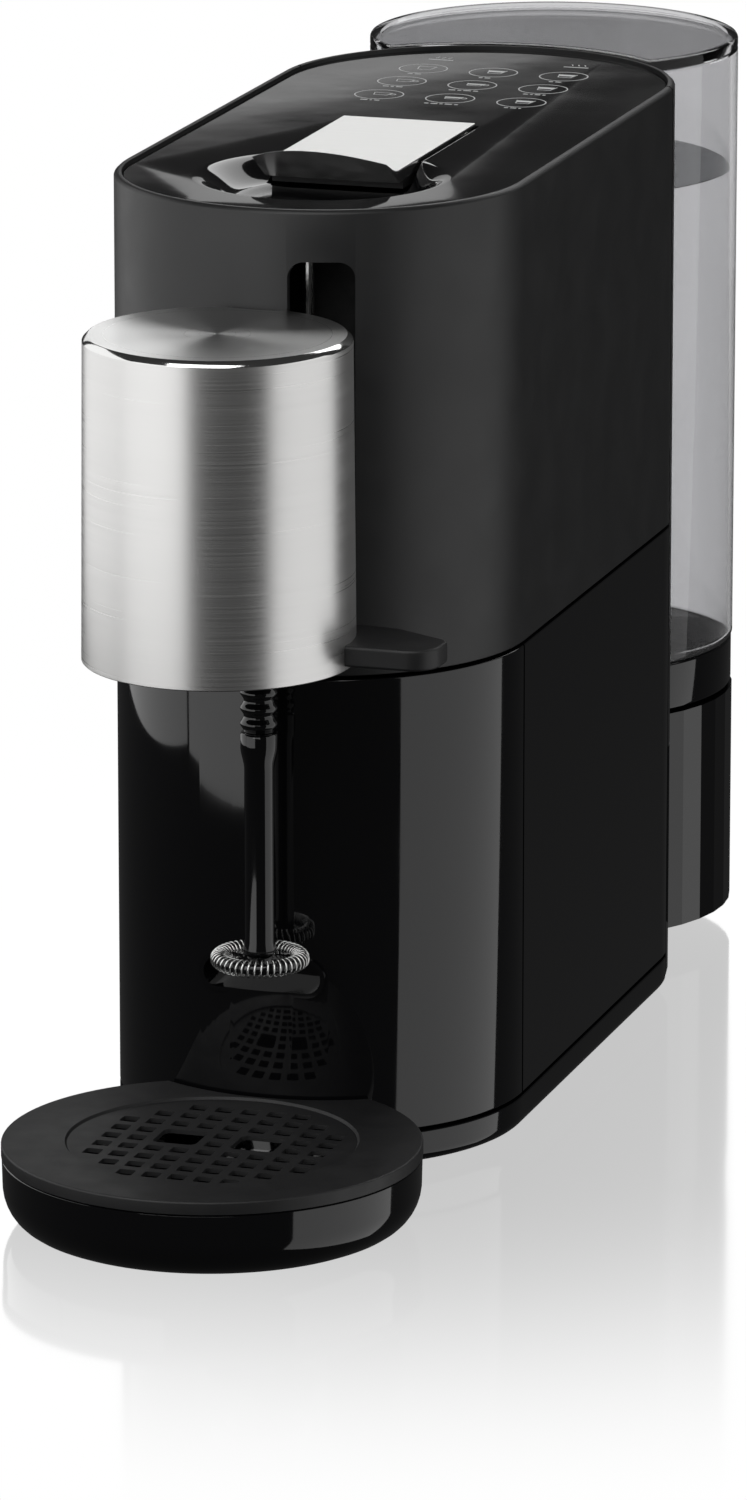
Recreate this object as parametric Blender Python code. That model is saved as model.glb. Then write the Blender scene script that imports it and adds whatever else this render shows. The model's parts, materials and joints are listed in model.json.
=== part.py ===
"""Pod coffee machine with a lifting whisk head, drip tray and rear water tank.

Metres, +Z up. X is the width, the cup side faces -Y. All pieces are laid out
in the machine's own layout frame, whose origin is the centre of the body's
round front on the worktop, and hang on an empty that puts the whole
machine's bottom centre at the world origin.
"""

import math

import bmesh
import bpy
from mathutils import Matrix, Vector

# Clearances
FIT = 0.0003          # between pieces that touch
SEAM = 0.0012         # shadow gap between outer mouldings
RUN = 0.0010          # between pieces that move past each other
BORE = 0.0002         # round a pin or a rod

# Body: two equal half rounds joined by flat sides
BODY_R = 0.066
REAR_Y = 0.1615       # centre of the rear round
RIM_Z = 0.3103
MID_Z = 0.1626        # seam between the lower and the upper housing
BASE_Z = 0.0135       # seam above the base plate
FLOOR_GAP = 0.003     # under the base plate, filled by the feet
REAR_SEAM_Y = REAR_Y + 0.0085
WALL = 0.0025
PANEL_DROP = 0.0012   # top panel below the rim
PANEL_T = 0.003

# Head
HEAD_Y = -(BODY_R + 0.0399)
HEAD_R = 0.0422
HEAD_TAPER = 0.0009   # less radius at the top
HEAD_BOTTOM_Z = 0.1779
HEAD_TOP_Z = 0.2794
HEAD_WALL = 0.0015
HEAD_CHAMFER = 0.0018
ARM_X = (0.0142, 0.0270)
ARM_Z = (HEAD_BOTTOM_Z + 0.007, HEAD_BOTTOM_Z + 0.035)
SLOT_X = (0.009, 0.029)
SLOT_TOP_Z = RIM_Z - 0.0161
SLOT_CORNER = 0.005
THUMB_Z = (HEAD_BOTTOM_Z + 0.0014, HEAD_BOTTOM_Z + 0.0080)
THUMB_TIP_X = HEAD_R + 0.0278
THUMB_ROOT_X = HEAD_R - 0.0062
THUMB_Y = (-(BODY_R + 0.0447), -(BODY_R + 0.0162))

# Whisk
WHISK_X = 0.0058
WHISK_Y = -(BODY_R + 0.0185)
WHISK_SHAFT_R = 0.0047
COLLAR_R = 0.006
COLLAR_BOTTOM_Z = 0.1502
WHISK_END_Z = 0.0782
RING_R = 0.0125       # to the middle of the coil
RING_COIL_R = 0.003
RING_Z = 0.0770

# Drip tray
TRAY_Y = -(BODY_R + 0.0486)
TRAY_R = 0.0654
TRAY_BOTTOM_Z = 0.0008
TRAY_RIM_Z = 0.0222
GRID_TOP_Z = 0.0265
TRAY_WALL = 0.0025
FIELD_CENTRE = (0.0015, -0.0025)
SLIT = (0.0050, 0.0050)
SLIT_PITCH = (0.0084, 0.0089)
CUP_HOLE = (0.0136, 0.0140)
SLITS_EACH_WAY = 4    # rows and columns on each side of the middle one

# Tank
TANK_Y = REAR_Y + BODY_R + 0.0262
TANK_R = BODY_R - 0.0036
TANK_WALL = 0.0025
DOCK_BOTTOM_Z = 0.009
DOCK_TOP_Z = 0.0846
TANK_FOOT_TOP_Z = DOCK_TOP_Z + 0.0176
TANK_LID_T = 0.0037
PORT_Y = TANK_Y + 0.0214
PORT_R = 0.0085
TANK_GAP = 0.0015     # tank to the body's rear round

# Capsule lever: a flat plate whose front turns up into a round-ended tongue
LEVER_HALF = 0.0224
LEVER_BODY_Y = 0.0134
LEVER_REAR_Y = 0.0894
LEVER_AXIS = (LEVER_REAR_Y - 0.0029, RIM_Z - 0.0045)
LEVER_PLATE_T = 0.0015
TONGUE_START_Y = 0.0039
TONGUE_TIP = (-0.0185, 0.0094)      # y, height above the rim
TONGUE_HEEL = (0.0071, -0.0044)
TONGUE_FRONT_R = 0.060
TONGUE_LEAN = 1.58    # how far the front face runs back for each unit it drops
DISH_Y = -0.003
DISH_R = 0.041
DISH_FLOOR_R = 0.026
DISH_DEPTH = 0.007
CHUTE_HALF = 0.0205
CHUTE_Y = (0.022, 0.052)
PIN_R = 0.001

# Drawer
GRIP_HALF = 0.0192
GRIP_Z = (0.0609, 0.0707)
GRIP_DEPTH = 0.011
BIN_R = BODY_R - 0.017
BIN_TOP_Z = MID_Z - 0.019

FAR = 0.5             # past every face of the machine
ROUND = 40            # segments of a large full circle
SMALL_ROUND = 16

for old in list(bpy.data.objects):
    bpy.data.objects.remove(old)

ORIGIN = bpy.data.objects.new("machine_layout", None)
ORIGIN.location = (
    -(THUMB_TIP_X - BODY_R) / 2,
    -((TANK_Y + TANK_R) + (TRAY_Y - TRAY_R)) / 2,
    0,
)
bpy.context.collection.objects.link(ORIGIN)


# --- materials ---------------------------------------------------------------

def material(name, colour, roughness, metallic=0.0, alpha=1.0):
    made = bpy.data.materials.new(name)
    made.use_nodes = True
    shader = made.node_tree.nodes["Principled BSDF"]
    shader.inputs["Base Color"].default_value = (*colour, 1.0)
    shader.inputs["Roughness"].default_value = roughness
    shader.inputs["Metallic"].default_value = metallic
    shader.inputs["Alpha"].default_value = alpha
    return made


GRAPHITE = material("satin_graphite", (0.028, 0.029, 0.030), 0.38)
GLOSS = material("gloss_black", (0.006, 0.006, 0.007), 0.06)
MATTE = material("matte_black", (0.012, 0.012, 0.013), 0.6)
STEEL = material("brushed_steel", (0.62, 0.61, 0.59), 0.28, 1.0)
WIRE = material("steel_wire", (0.7, 0.7, 0.7), 0.2, 1.0)
SMOKE = material("smoked_clear", (0.25, 0.25, 0.26), 0.08, 0.0, 0.45)
INNER = material("grey_moulding", (0.2, 0.2, 0.21), 0.5)
RUBBER = material("rubber", (0.02, 0.02, 0.02), 0.8)
BOARD = material("circuit_board", (0.02, 0.12, 0.05), 0.5)
CAST = material("cast_aluminium", (0.5, 0.5, 0.52), 0.45, 1.0)
HOSE = material("silicone_hose", (0.7, 0.7, 0.68), 0.4)


# --- outlines, as lists of (x, y), anticlockwise ------------------------------

def arc(centre_y, radius, start, end, steps, centre_x=0.0):
    """Points from start to end, in degrees, both included."""
    return [
        (
            centre_x + radius * math.cos(math.radians(start + (end - start) * i / steps)),
            centre_y + radius * math.sin(math.radians(start + (end - start) * i / steps)),
        )
        for i in range(steps + 1)
    ]


def stadium(radius, inset=0.0):
    half = ROUND // 2
    return arc(0, radius - inset, 180, 360, half) + arc(REAR_Y, radius - inset, 0, 180, half)


def circle(centre_y, radius, steps=ROUND, centre_x=0.0):
    return arc(centre_y, radius, 0, 360, steps, centre_x)[:-1]


def rectangle(x0, x1, y0, y1):
    return [(x0, y0), (x1, y0), (x1, y1), (x0, y1)]


def bitten(centre_y, radius, bite_y, bite_r, steps=ROUND):
    """A disc on the centre line with a second disc, on one side of it, taken out."""
    side = 1 if bite_y > centre_y else -1
    apart = abs(bite_y - centre_y)
    along = (apart**2 + radius**2 - bite_r**2) / (2 * apart)
    half = math.sqrt(radius**2 - along**2)
    out_angle = math.degrees(math.atan2(half, along))
    bite_angle = math.degrees(math.atan2(half, apart - along))
    toward = 90 * side
    outer = arc(centre_y, radius, toward + out_angle, toward + 360 - out_angle, steps)
    away = toward + 180
    inner = arc(bite_y, bite_r, away + bite_angle, away - bite_angle, steps // 3)
    return outer + inner[1:-1]


# --- solids --------------------------------------------------------------------

def finish(name, mesh_maker, look, smooth=True):
    """A named object from a filled bmesh, hung on the layout frame."""
    mesh = bpy.data.meshes.new(name)
    bmesh.ops.recalc_face_normals(mesh_maker, faces=mesh_maker.faces)
    mesh_maker.to_mesh(mesh)
    mesh_maker.free()
    mesh.materials.append(look)
    if smooth:
        mesh.shade_smooth()
        mesh.set_sharp_from_angle(angle=math.radians(35))
    made = bpy.data.objects.new(name, mesh)
    bpy.context.collection.objects.link(made)
    made.parent = ORIGIN
    return made


def loft(name, levels, look):
    """A closed solid through outlines with equal point counts: [(outline, z), ...]."""
    made = bmesh.new()
    rings = [[made.verts.new((x, y, z)) for x, y in outline] for outline, z in levels]
    made.faces.new(rings[0])
    made.faces.new(rings[-1])
    for low, high in zip(rings, rings[1:]):
        for i in range(len(low)):
            j = (i + 1) % len(low)
            made.faces.new((low[i], low[j], high[j], high[i]))
    return finish(name, made, look)


def prism(name, outline, z0, z1, look):
    return loft(name, [(outline, z0), (outline, z1)], look)


def block(name, x, y, z, look):
    return prism(name, rectangle(*x, *y), *z, look)


def turned(name, centre, profile, look, steps=SMALL_ROUND):
    """A solid of revolution about Z from (radius, z) points, first and last at radius 0."""
    levels = [
        (arc(0, radius, 0, 360, steps)[:-1], z)
        for radius, z in profile
    ]
    made = loft(name, levels, look)
    made.data.transform(Matrix.Translation((*centre, 0)))
    return made


def ring(name, centre, inner, outer, z0, z1, look, steps=SMALL_ROUND):
    made = turned(name, centre, [(outer, z0), (outer, z1)], look, steps)
    return cut(made, turned(name + "_cutter", centre, [(inner, z0 - WALL), (inner, z1 + WALL)], look, steps))


def rod_x(name, radius, x0, x1, y, z, look, steps=SMALL_ROUND):
    made = turned(name, (0, 0), [(radius, x0), (radius, x1)], look, steps)
    made.data.transform(Matrix.Translation((0, y, z)) @ Matrix.Rotation(math.pi / 2, 4, "Y"))
    return made


def rod_y(name, radius, x, y0, y1, z, look, steps=SMALL_ROUND):
    made = turned(name, (0, 0), [(radius, -y1), (radius, -y0)], look, steps)
    made.data.transform(Matrix.Translation((x, 0, z)) @ Matrix.Rotation(math.pi / 2, 4, "X"))
    return made


def tube(name, points, radius, look):
    """A hose as a poly curve read from a smooth curve through its points."""
    ends = [2 * Vector(points[0]) - Vector(points[1])]
    ends += [Vector(p) for p in points]
    ends += [2 * Vector(points[-1]) - Vector(points[-2])]
    path = []
    for a, b, c, d in zip(ends, ends[1:], ends[2:], ends[3:]):
        for i in range(5):
            t = i / 5
            path.append(0.5 * (
                2 * b + (c - a) * t
                + (2 * a - 5 * b + 4 * c - d) * t**2
                + (3 * b - a - 3 * c + d) * t**3
            ))
    path.append(Vector(points[-1]))
    curve = bpy.data.curves.new(name, "CURVE")
    curve.dimensions = "3D"
    spline = curve.splines.new("POLY")
    spline.points.add(len(path) - 1)
    for point, place in zip(spline.points, path):
        point.co = (*place, 1)
    curve.bevel_depth = radius
    curve.bevel_resolution = 2
    curve.use_fill_caps = True
    curve.materials.append(look)
    made = bpy.data.objects.new(name, curve)
    bpy.context.collection.objects.link(made)
    made.parent = ORIGIN
    return made


def boolean(body, other, operation):
    other.hide_render = True
    other.display_type = "WIRE"
    change = body.modifiers.new(other.name, "BOOLEAN")
    change.operation = operation
    change.object = other
    return body


def cut(body, cutter):
    return boolean(body, cutter, "DIFFERENCE")


def join(body, other):
    return boolean(body, other, "UNION")


def half_round(name, y0, y1, z0, z1, look, wall=WALL):
    """The stretch of the body's wall from y0 to y1."""
    body = prism(name, stadium(BODY_R), z0, z1, look)
    cut(body, prism(name + "_hollow", stadium(BODY_R, wall), z0 - WALL, z1 + WALL, look))
    far = 2 * BODY_R
    if y0 is not None:
        cut(body, block(name + "_front", (-far, far), (-far, y0), (z0 - WALL, z1 + WALL), look))
    if y1 is not None:
        cut(body, block(name + "_rear", (-far, far), (y1, REAR_Y + far), (z0 - WALL, z1 + WALL), look))
    return body


# --- base and feet ---------------------------------------------------------------

base = loft("base_plate", [
    (stadium(BODY_R, 0.0040), FLOOR_GAP),
    (stadium(BODY_R, 0.0012), FLOOR_GAP + 0.0012),
    (stadium(BODY_R, 0.0003), FLOOR_GAP + 0.0036),
    (stadium(BODY_R), BASE_Z),
], GLOSS)
cut(base, block("base_rear", (-FAR, FAR), (REAR_SEAM_Y - SEAM / 2, FAR), (-FAR, FAR), GLOSS))

FEET = {
    "foot_front_left": (-0.042, -0.020, FLOOR_GAP),
    "foot_front_right": (0.042, -0.020, FLOOR_GAP),
    "foot_rear_left": (-0.030, TANK_Y + 0.0154, DOCK_BOTTOM_Z),
    "foot_rear_right": (0.030, TANK_Y + 0.0154, DOCK_BOTTOM_Z),
}
for foot_name, (foot_x, foot_y, above) in FEET.items():
    turned(foot_name, (foot_x, foot_y), [(0.0062, 0), (0.0070, 0.0008), (0.0070, above - FIT)], RUBBER)

# --- lower housing, capsule drawer and bin ------------------------------------------

LOWER = (BASE_Z + SEAM, MID_Z - SEAM / 2)
SPLIT_Y = 0.0
BULKHEAD_Y = REAR_Y - 0.062
lower = half_round("lower_housing", SPLIT_Y + SEAM / 2, REAR_SEAM_Y - SEAM / 2, *LOWER, GLOSS)
join(lower, block(
    "bulkhead", (-BODY_R + WALL / 2, BODY_R - WALL / 2), (BULKHEAD_Y, BULKHEAD_Y + WALL), LOWER, GLOSS,
))

drawer = half_round("drawer_front", None, SPLIT_Y - SEAM / 2, *LOWER, GLOSS)
join(drawer, block(
    "grip_boss", (-GRIP_HALF - 0.004, GRIP_HALF + 0.004), (-BODY_R + 0.009, -BODY_R + GRIP_DEPTH + 0.003),
    (GRIP_Z[0] - 0.004, GRIP_Z[1] + 0.004), GLOSS,
))
join(drawer, block(
    "grip_boss_web", (-GRIP_HALF - 0.004, GRIP_HALF + 0.004), (-BODY_R + 0.0015 + 0.0045, -BODY_R + 0.0095),
    (GRIP_Z[0] - 0.004, GRIP_Z[1] + 0.004), GLOSS,
))
grip_r = (GRIP_Z[1] - GRIP_Z[0]) / 2
grip_pill = (
    arc(0, grip_r, -90, 90, 8, GRIP_HALF - grip_r) + arc(0, grip_r, 90, 270, 8, -(GRIP_HALF - grip_r))
)
grip = prism("grip_cutter", grip_pill, 0, GRIP_DEPTH + 0.009, GLOSS)
grip.data.transform(
    Matrix.Translation((0, -BODY_R + GRIP_DEPTH, sum(GRIP_Z) / 2)) @ Matrix.Rotation(math.pi / 2, 4, "X")
)
cut(drawer, grip)


def bin_outline(inset):
    return arc(0, BIN_R - inset, 180, 360, 20) + [
        (BIN_R - inset, BULKHEAD_Y - 0.004 - inset), (-BIN_R + inset, BULKHEAD_Y - 0.004 - inset),
    ]


capsule_bin = prism("capsule_bin", bin_outline(0), BASE_Z + 0.003, BIN_TOP_Z, INNER)
cut(capsule_bin, prism("bin_hollow", bin_outline(0.002), BASE_Z + 0.005, BIN_TOP_Z + 0.01, INNER))

# --- upper housing, rear cover -----------------------------------------------------

UPPER_Z = MID_Z + SEAM / 2
upper = half_round("upper_housing", None, REAR_SEAM_Y - SEAM / 2, UPPER_Z, RIM_Z, GRAPHITE)
slot_z = (ARM_Z[0] - 0.005, SLOT_TOP_Z)


def rounded(x, z, radius):
    corners = ((x[1], z[0], 270), (x[1], z[1], 0), (x[0], z[1], 90), (x[0], z[0], 180))
    points = []
    for cx, cz, start in corners:
        inner_x = cx - radius if cx == x[1] else cx + radius
        inner_z = cz - radius if cz == z[1] else cz + radius
        points += arc(inner_z, radius, start, start + 90, 5, inner_x)
    return points


slot = prism("slot_cutter", rounded(SLOT_X, slot_z, SLOT_CORNER), 0, 0.03, GRAPHITE)
slot.data.transform(Matrix.Translation((0, -BODY_R + 0.015, 0)) @ Matrix.Rotation(math.pi / 2, 4, "X"))
cut(upper, slot)
half_round("rear_cover", REAR_SEAM_Y + SEAM / 2, None, DOCK_TOP_Z + SEAM, RIM_Z, GRAPHITE)

# --- top panel ----------------------------------------------------------------------

PANEL_TOP_Z = RIM_Z - PANEL_DROP
PANEL_BOTTOM_Z = PANEL_TOP_Z - PANEL_T
POCKET_FLOOR_Z = RIM_Z - 0.0115
PAN_BOTTOM_Z = RIM_Z - 0.0145
POCKET_HALF = LEVER_HALF + RUN
pocket_rear_y = LEVER_AXIS[0] + math.hypot(LEVER_REAR_Y - LEVER_AXIS[0], RIM_Z - LEVER_AXIS[1]) + RUN / 2
panel = prism("top_panel", stadium(BODY_R, WALL + FIT), PANEL_BOTTOM_Z, PANEL_TOP_Z, GLOSS)
join(panel, prism("pan", circle(DISH_Y, DISH_R + 0.002), PAN_BOTTOM_Z, PANEL_TOP_Z - 0.001, GLOSS))
join(panel, block(
    "pocket_box", (-POCKET_HALF - WALL, POCKET_HALF + WALL),
    (LEVER_BODY_Y - RUN - WALL, pocket_rear_y + WALL),
    (PAN_BOTTOM_Z - 0.0004, PANEL_TOP_Z - 0.0014), GLOSS,
))
cut(panel, loft("dish_cutter", [
    (circle(DISH_Y, DISH_FLOOR_R), PANEL_TOP_Z - DISH_DEPTH),
    (circle(DISH_Y, DISH_FLOOR_R + 0.006), PANEL_TOP_Z - DISH_DEPTH + 0.001),
    (circle(DISH_Y, DISH_R - 0.003), PANEL_TOP_Z - 0.0022),
    (circle(DISH_Y, DISH_R), PANEL_TOP_Z),
    (circle(DISH_Y, DISH_R + 0.0005), PANEL_TOP_Z + 0.002),
], GLOSS))
cut(panel, block(
    "pocket_cutter", (-POCKET_HALF, POCKET_HALF), (LEVER_BODY_Y - RUN, pocket_rear_y),
    (POCKET_FLOOR_Z, RIM_Z + 0.01), GLOSS,
))
cut(panel, block("chute_cutter", (-CHUTE_HALF, CHUTE_HALF), CHUTE_Y, (PAN_BOTTOM_Z - 0.01, RIM_Z), GLOSS))
PIN_HALF = POCKET_HALF + WALL * 0.75
cut(panel, rod_x(
    "pin_bore_cutter", PIN_R + BORE, -PIN_HALF - BORE, PIN_HALF + BORE, *LEVER_AXIS, GLOSS,
))

# --- capsule lever -------------------------------------------------------------------


def side_prism(name, outline, x0, x1, look):
    """An outline of (y, z) points drawn out along X."""
    made = prism(name, outline, x0, x1, look)
    made.data.transform(Matrix(((0, 0, 1, 0), (1, 0, 0, 0), (0, 1, 0, 0), (0, 0, 0, 1))))
    return made


def tongue_outline(height):
    """The lever seen from above at one height over the rim: its front is an arc."""
    centre_y = TONGUE_TIP[0] + TONGUE_FRONT_R + TONGUE_LEAN * (TONGUE_TIP[1] - height)
    spread = math.degrees(math.asin(LEVER_HALF / TONGUE_FRONT_R))
    front = arc(centre_y, TONGUE_FRONT_R, 270 - spread, 270 + spread, 10)
    return front + [(LEVER_HALF, LEVER_REAR_Y), (-LEVER_HALF, LEVER_REAR_Y)]


rise = TONGUE_TIP[1] / (TONGUE_START_Y - TONGUE_TIP[0])
bend = math.atan(rise)
BEND_R = 0.020
reach = BEND_R * math.tan(bend / 2)
bend_points = [
    (TONGUE_START_Y + reach - BEND_R * math.sin(bend * i / 5), BEND_R * (1 - math.cos(bend * i / 5)))
    for i in range(6)
]
UNDER_RISE = 0.466
beyond = TONGUE_TIP[0] - 0.006
lever_profile = [(LEVER_REAR_Y, 0)] + bend_points + [
    (beyond, rise * (TONGUE_START_Y - beyond)),
    (beyond, TONGUE_HEEL[1] + UNDER_RISE * (TONGUE_HEEL[0] - beyond)),
    TONGUE_HEEL,
    (LEVER_BODY_Y - 0.0020, TONGUE_HEEL[1]),
    (LEVER_BODY_Y - 0.0004, -LEVER_PLATE_T),
    (LEVER_REAR_Y, -LEVER_PLATE_T),
]
lever_plate = side_prism(
    "lever_plate", [(y, RIM_Z + height) for y, height in lever_profile], -LEVER_HALF - 0.001,
    LEVER_HALF + 0.001,
    STEEL,
)
boolean(lever_plate, loft("tongue_shape", [
    (tongue_outline(-0.010), RIM_Z - 0.010), (tongue_outline(0.015), RIM_Z + 0.015),
], STEEL), "INTERSECT")
ARM_TOP_Z = RIM_Z - LEVER_PLATE_T - FIT
capsule_lever = block(
    "capsule_lever", (-LEVER_HALF + 0.0008, LEVER_HALF - 0.0008),
    (LEVER_BODY_Y, LEVER_AXIS[0] - 0.0005), (LEVER_AXIS[1] - 0.0028, ARM_TOP_Z), MATTE,
)
join(capsule_lever, rod_x(
    "lever_hub", 0.0028, -LEVER_HALF + 0.0009, LEVER_HALF - 0.0009, *LEVER_AXIS, MATTE,
))
cut(capsule_lever, rod_x("lever_bore", PIN_R + BORE, -0.04, 0.04, *LEVER_AXIS, MATTE))
rod_x("lever_pin", PIN_R, -PIN_HALF, PIN_HALF, *LEVER_AXIS, WIRE)

# --- brew unit ------------------------------------------------------------------------

FRAME_IN = 0.0238
FRAME_Z = (RIM_Z - 0.090, PAN_BOTTOM_Z - 0.0004 - FIT)
FRAME_Y = (0.008, 0.082)
frame = block("brew_frame", (-FRAME_IN - WALL, FRAME_IN + WALL), FRAME_Y, FRAME_Z, INNER)
cut(frame, block(
    "frame_hollow", (-FRAME_IN, FRAME_IN), (FRAME_Y[0] + 0.004, FRAME_Y[1] - 0.004),
    (FRAME_Z[0] - 0.01, FRAME_Z[1] + 0.01), INNER,
))
CAGE_HALF = FRAME_IN - RUN
CAGE_Z = (RIM_Z - 0.072, RIM_Z - 0.022)
PLATE_Y = (FRAME_Y[0] + 0.004 + FIT, CHUTE_Y[0] - 0.001)
piercing = block("piercing_plate", (-CAGE_HALF, CAGE_HALF), PLATE_Y, CAGE_Z, CAST)
join(piercing, rod_y(
    "plate_boss", 0.013, 0, PLATE_Y[1] - 0.001, PLATE_Y[1] + 0.003, sum(CAGE_Z) / 2, CAST,
))
CAGE_Y = (PLATE_Y[1] + 0.006, PLATE_Y[1] + 0.028)
cage = block("brew_cage", (-CAGE_HALF, CAGE_HALF), CAGE_Y, CAGE_Z, INNER)
cut(cage, rod_y(
    "capsule_seat", 0.0165, 0, CAGE_Y[0] - 0.01, CAGE_Y[1] - 0.005, sum(CAGE_Z) / 2, INNER, 24,
))

# --- head lift ---------------------------------------------------------------------------

LIFT_Y = -0.040
ROD_R = 0.002
ROD_X = (0.0075, 0.0335)
LIFT_Z = (MID_Z + 0.006, PAN_BOTTOM_Z - 0.0023)
BLOCK_Y = (LIFT_Y - 0.007, LIFT_Y + 0.007)
LIFT_X = (ROD_X[0] - 0.0045, ROD_X[1] + 0.0045)
bracket = block("lift_bracket", LIFT_X, (LIFT_Y + 0.009, LIFT_Y + 0.0115), LIFT_Z, CAST)
for flange_name, flange_z in (
    ("lift_top", (LIFT_Z[1] - 0.003, LIFT_Z[1])),
    ("lift_foot", (LIFT_Z[0], LIFT_Z[0] + 0.003)),
):
    join(bracket, block(
        flange_name, (LIFT_X[0] + 0.0001, LIFT_X[1] - 0.0001), (LIFT_Y - 0.005, LIFT_Y + 0.010),
        flange_z, CAST,
    ))
carriage = block(
    "head_carriage", (ROD_X[0] - 0.0035, ROD_X[1] + 0.0035), BLOCK_Y, ARM_Z, INNER,
)
join(carriage, block(
    "carriage_arm", ARM_X, (WHISK_Y - 0.0095, BLOCK_Y[0] + 0.001),
    (ARM_Z[0] + 0.0001, ARM_Z[1] - 0.0001), INNER,
))
for index, rod_place in enumerate(ROD_X):
    cut(carriage, turned(
        f"carriage_bore_{index}", (rod_place, LIFT_Y), [(ROD_R + BORE, 0), (ROD_R + BORE, FAR)], INNER,
    ))
    cut(bracket, turned(
        f"bracket_bore_{index}", (rod_place, LIFT_Y), [(ROD_R + BORE, 0), (ROD_R + BORE, FAR)], CAST,
    ))
    turned(
        ("guide_rod_left", "guide_rod_right")[index], (rod_place, LIFT_Y),
        [(ROD_R, LIFT_Z[0]), (ROD_R, LIFT_Z[1])],
        WIRE,
    )

# --- head -----------------------------------------------------------------------------------


def head_outline(inset, taper=0.0):
    return bitten(HEAD_Y, HEAD_R - inset - taper, 0, BODY_R + RUN + inset)


shell = loft("head_shell", [
    (head_outline(0), HEAD_BOTTOM_Z),
    (head_outline(0, HEAD_TAPER), HEAD_TOP_Z - HEAD_CHAMFER),
    (head_outline(HEAD_CHAMFER, HEAD_TAPER), HEAD_TOP_Z),
], STEEL)
cut(shell, prism(
    "head_hollow", head_outline(HEAD_WALL, HEAD_TAPER), HEAD_BOTTOM_Z - 0.01,
    HEAD_TOP_Z - HEAD_CHAMFER - 0.0005,
    STEEL,
))
cut(shell, block(
    "arm_window", (ARM_X[0] - FIT, ARM_X[1] + FIT), (-0.085, -0.05), (ARM_Z[0] - FIT, ARM_Z[1] + FIT), STEEL,
))

thumb_outline = (
    [(THUMB_ROOT_X, THUMB_Y[0])]
    + arc(THUMB_Y[0] + 0.009, 0.009, 270, 350, 6, THUMB_TIP_X - 0.009)
    + arc(-0.0965, 0.0045, 0, 60, 4, THUMB_TIP_X - 0.0045)
    + [(0.0515, THUMB_Y[1] - 0.0015), (0.042, THUMB_Y[1]), (THUMB_ROOT_X, THUMB_Y[1])]
)
prism("thumb_lever", thumb_outline, *THUMB_Z, MATTE)
head_floor = prism(
    "head_floor", head_outline(HEAD_WALL + HEAD_TAPER + FIT), HEAD_BOTTOM_Z + 0.0012,
    HEAD_BOTTOM_Z + 0.0050, MATTE,
)
NOTCH = 0.0005
for notched in (shell, head_floor):
    cut(notched, block(
        notched.name + "_notch", (THUMB_ROOT_X - NOTCH, HEAD_R + 0.01),
        (THUMB_Y[0] - NOTCH, THUMB_Y[1] + NOTCH),
        (HEAD_BOTTOM_Z - 0.01, THUMB_Z[1] + NOTCH), MATTE,
    ))
SPOUT = (-0.012, HEAD_Y - 0.011)
cut(head_floor, turned(
    "whisk_hole", (WHISK_X, WHISK_Y), [(COLLAR_R + RUN, 0), (COLLAR_R + RUN, FAR)], MATTE,
))
cut(head_floor, turned("spout_hole", SPOUT, [(0.0078, 0), (0.0078, FAR)], MATTE))

SHELF_Z = (ARM_Z[1] + 0.002, ARM_Z[1] + 0.0045)
shelf = prism("head_shelf", head_outline(HEAD_WALL + HEAD_TAPER + FIT), *SHELF_Z, INNER)
cut(shelf, turned("shaft_hole", (WHISK_X, WHISK_Y), [(0.003, 0), (0.003, FAR)], INNER))
turned("whisk_motor", (WHISK_X, WHISK_Y), [
    (0.0115, SHELF_Z[1] + FIT), (0.0115, SHELF_Z[1] + 0.034), (0.004, SHELF_Z[1] + 0.036),
], CAST, 20)
spout = turned("coffee_spout", SPOUT, [
    (0.0050, HEAD_BOTTOM_Z - 0.0010), (0.0075, HEAD_BOTTOM_Z + 0.003), (0.0075, HEAD_BOTTOM_Z + 0.026),
], MATTE)
cut(spout, turned("spout_bore", SPOUT, [(0.0028, 0), (0.0028, FAR)], MATTE))

# --- whisk -------------------------------------------------------------------------------------

COUPLING_Z = (ARM_Z[0] + 0.0005, ARM_Z[0] + 0.011)
turned("drive_coupling", (WHISK_X, WHISK_Y), [(COLLAR_R, COUPLING_Z[0]), (COLLAR_R, COUPLING_Z[1])], INNER)
turned("motor_shaft", (WHISK_X, WHISK_Y), [
    (0.0015, COUPLING_Z[1] + FIT), (0.0015, SHELF_Z[1]),
], WIRE)
RIBS = 7
collar_profile = []
collar_top = COUPLING_Z[0] - FIT
rib = (collar_top - COLLAR_BOTTOM_Z) / RIBS
for i in range(RIBS):
    z = COLLAR_BOTTOM_Z + i * rib
    collar_profile += [(COLLAR_R - 0.0010, z), (COLLAR_R, z + rib * 0.3), (COLLAR_R, z + rib * 0.7)]
collar_profile.append((COLLAR_R - 0.0010, collar_top))
turned("whisk_collar", (WHISK_X, WHISK_Y), collar_profile, MATTE)
turned("whisk_shaft", (WHISK_X, WHISK_Y), [
    (WHISK_SHAFT_R - 0.001, WHISK_END_Z), (WHISK_SHAFT_R + 0.0008, WHISK_END_Z + 0.0015),
    (WHISK_SHAFT_R, WHISK_END_Z + 0.006), (WHISK_SHAFT_R, COLLAR_BOTTOM_Z - FIT),
], GLOSS)
made = bmesh.new()
seed = [made.verts.new((RING_R + RING_COIL_R * math.cos(a), 0, RING_COIL_R * math.sin(a)))
        for a in (2 * math.pi * i / 10 for i in range(10))]
seed_edges = [made.edges.new((seed[i], seed[(i + 1) % 10])) for i in range(10)]
bmesh.ops.spin(
    made, geom=seed + seed_edges, cent=(0, 0, 0), axis=(0, 0, 1), angle=2 * math.pi, steps=24, use_merge=True,
)
bmesh.ops.remove_doubles(made, verts=made.verts, dist=1e-6)
bmesh.ops.translate(made, verts=made.verts, vec=(WHISK_X, WHISK_Y, RING_Z))
whisk_ring = finish("whisk_ring", made, WIRE)
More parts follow.
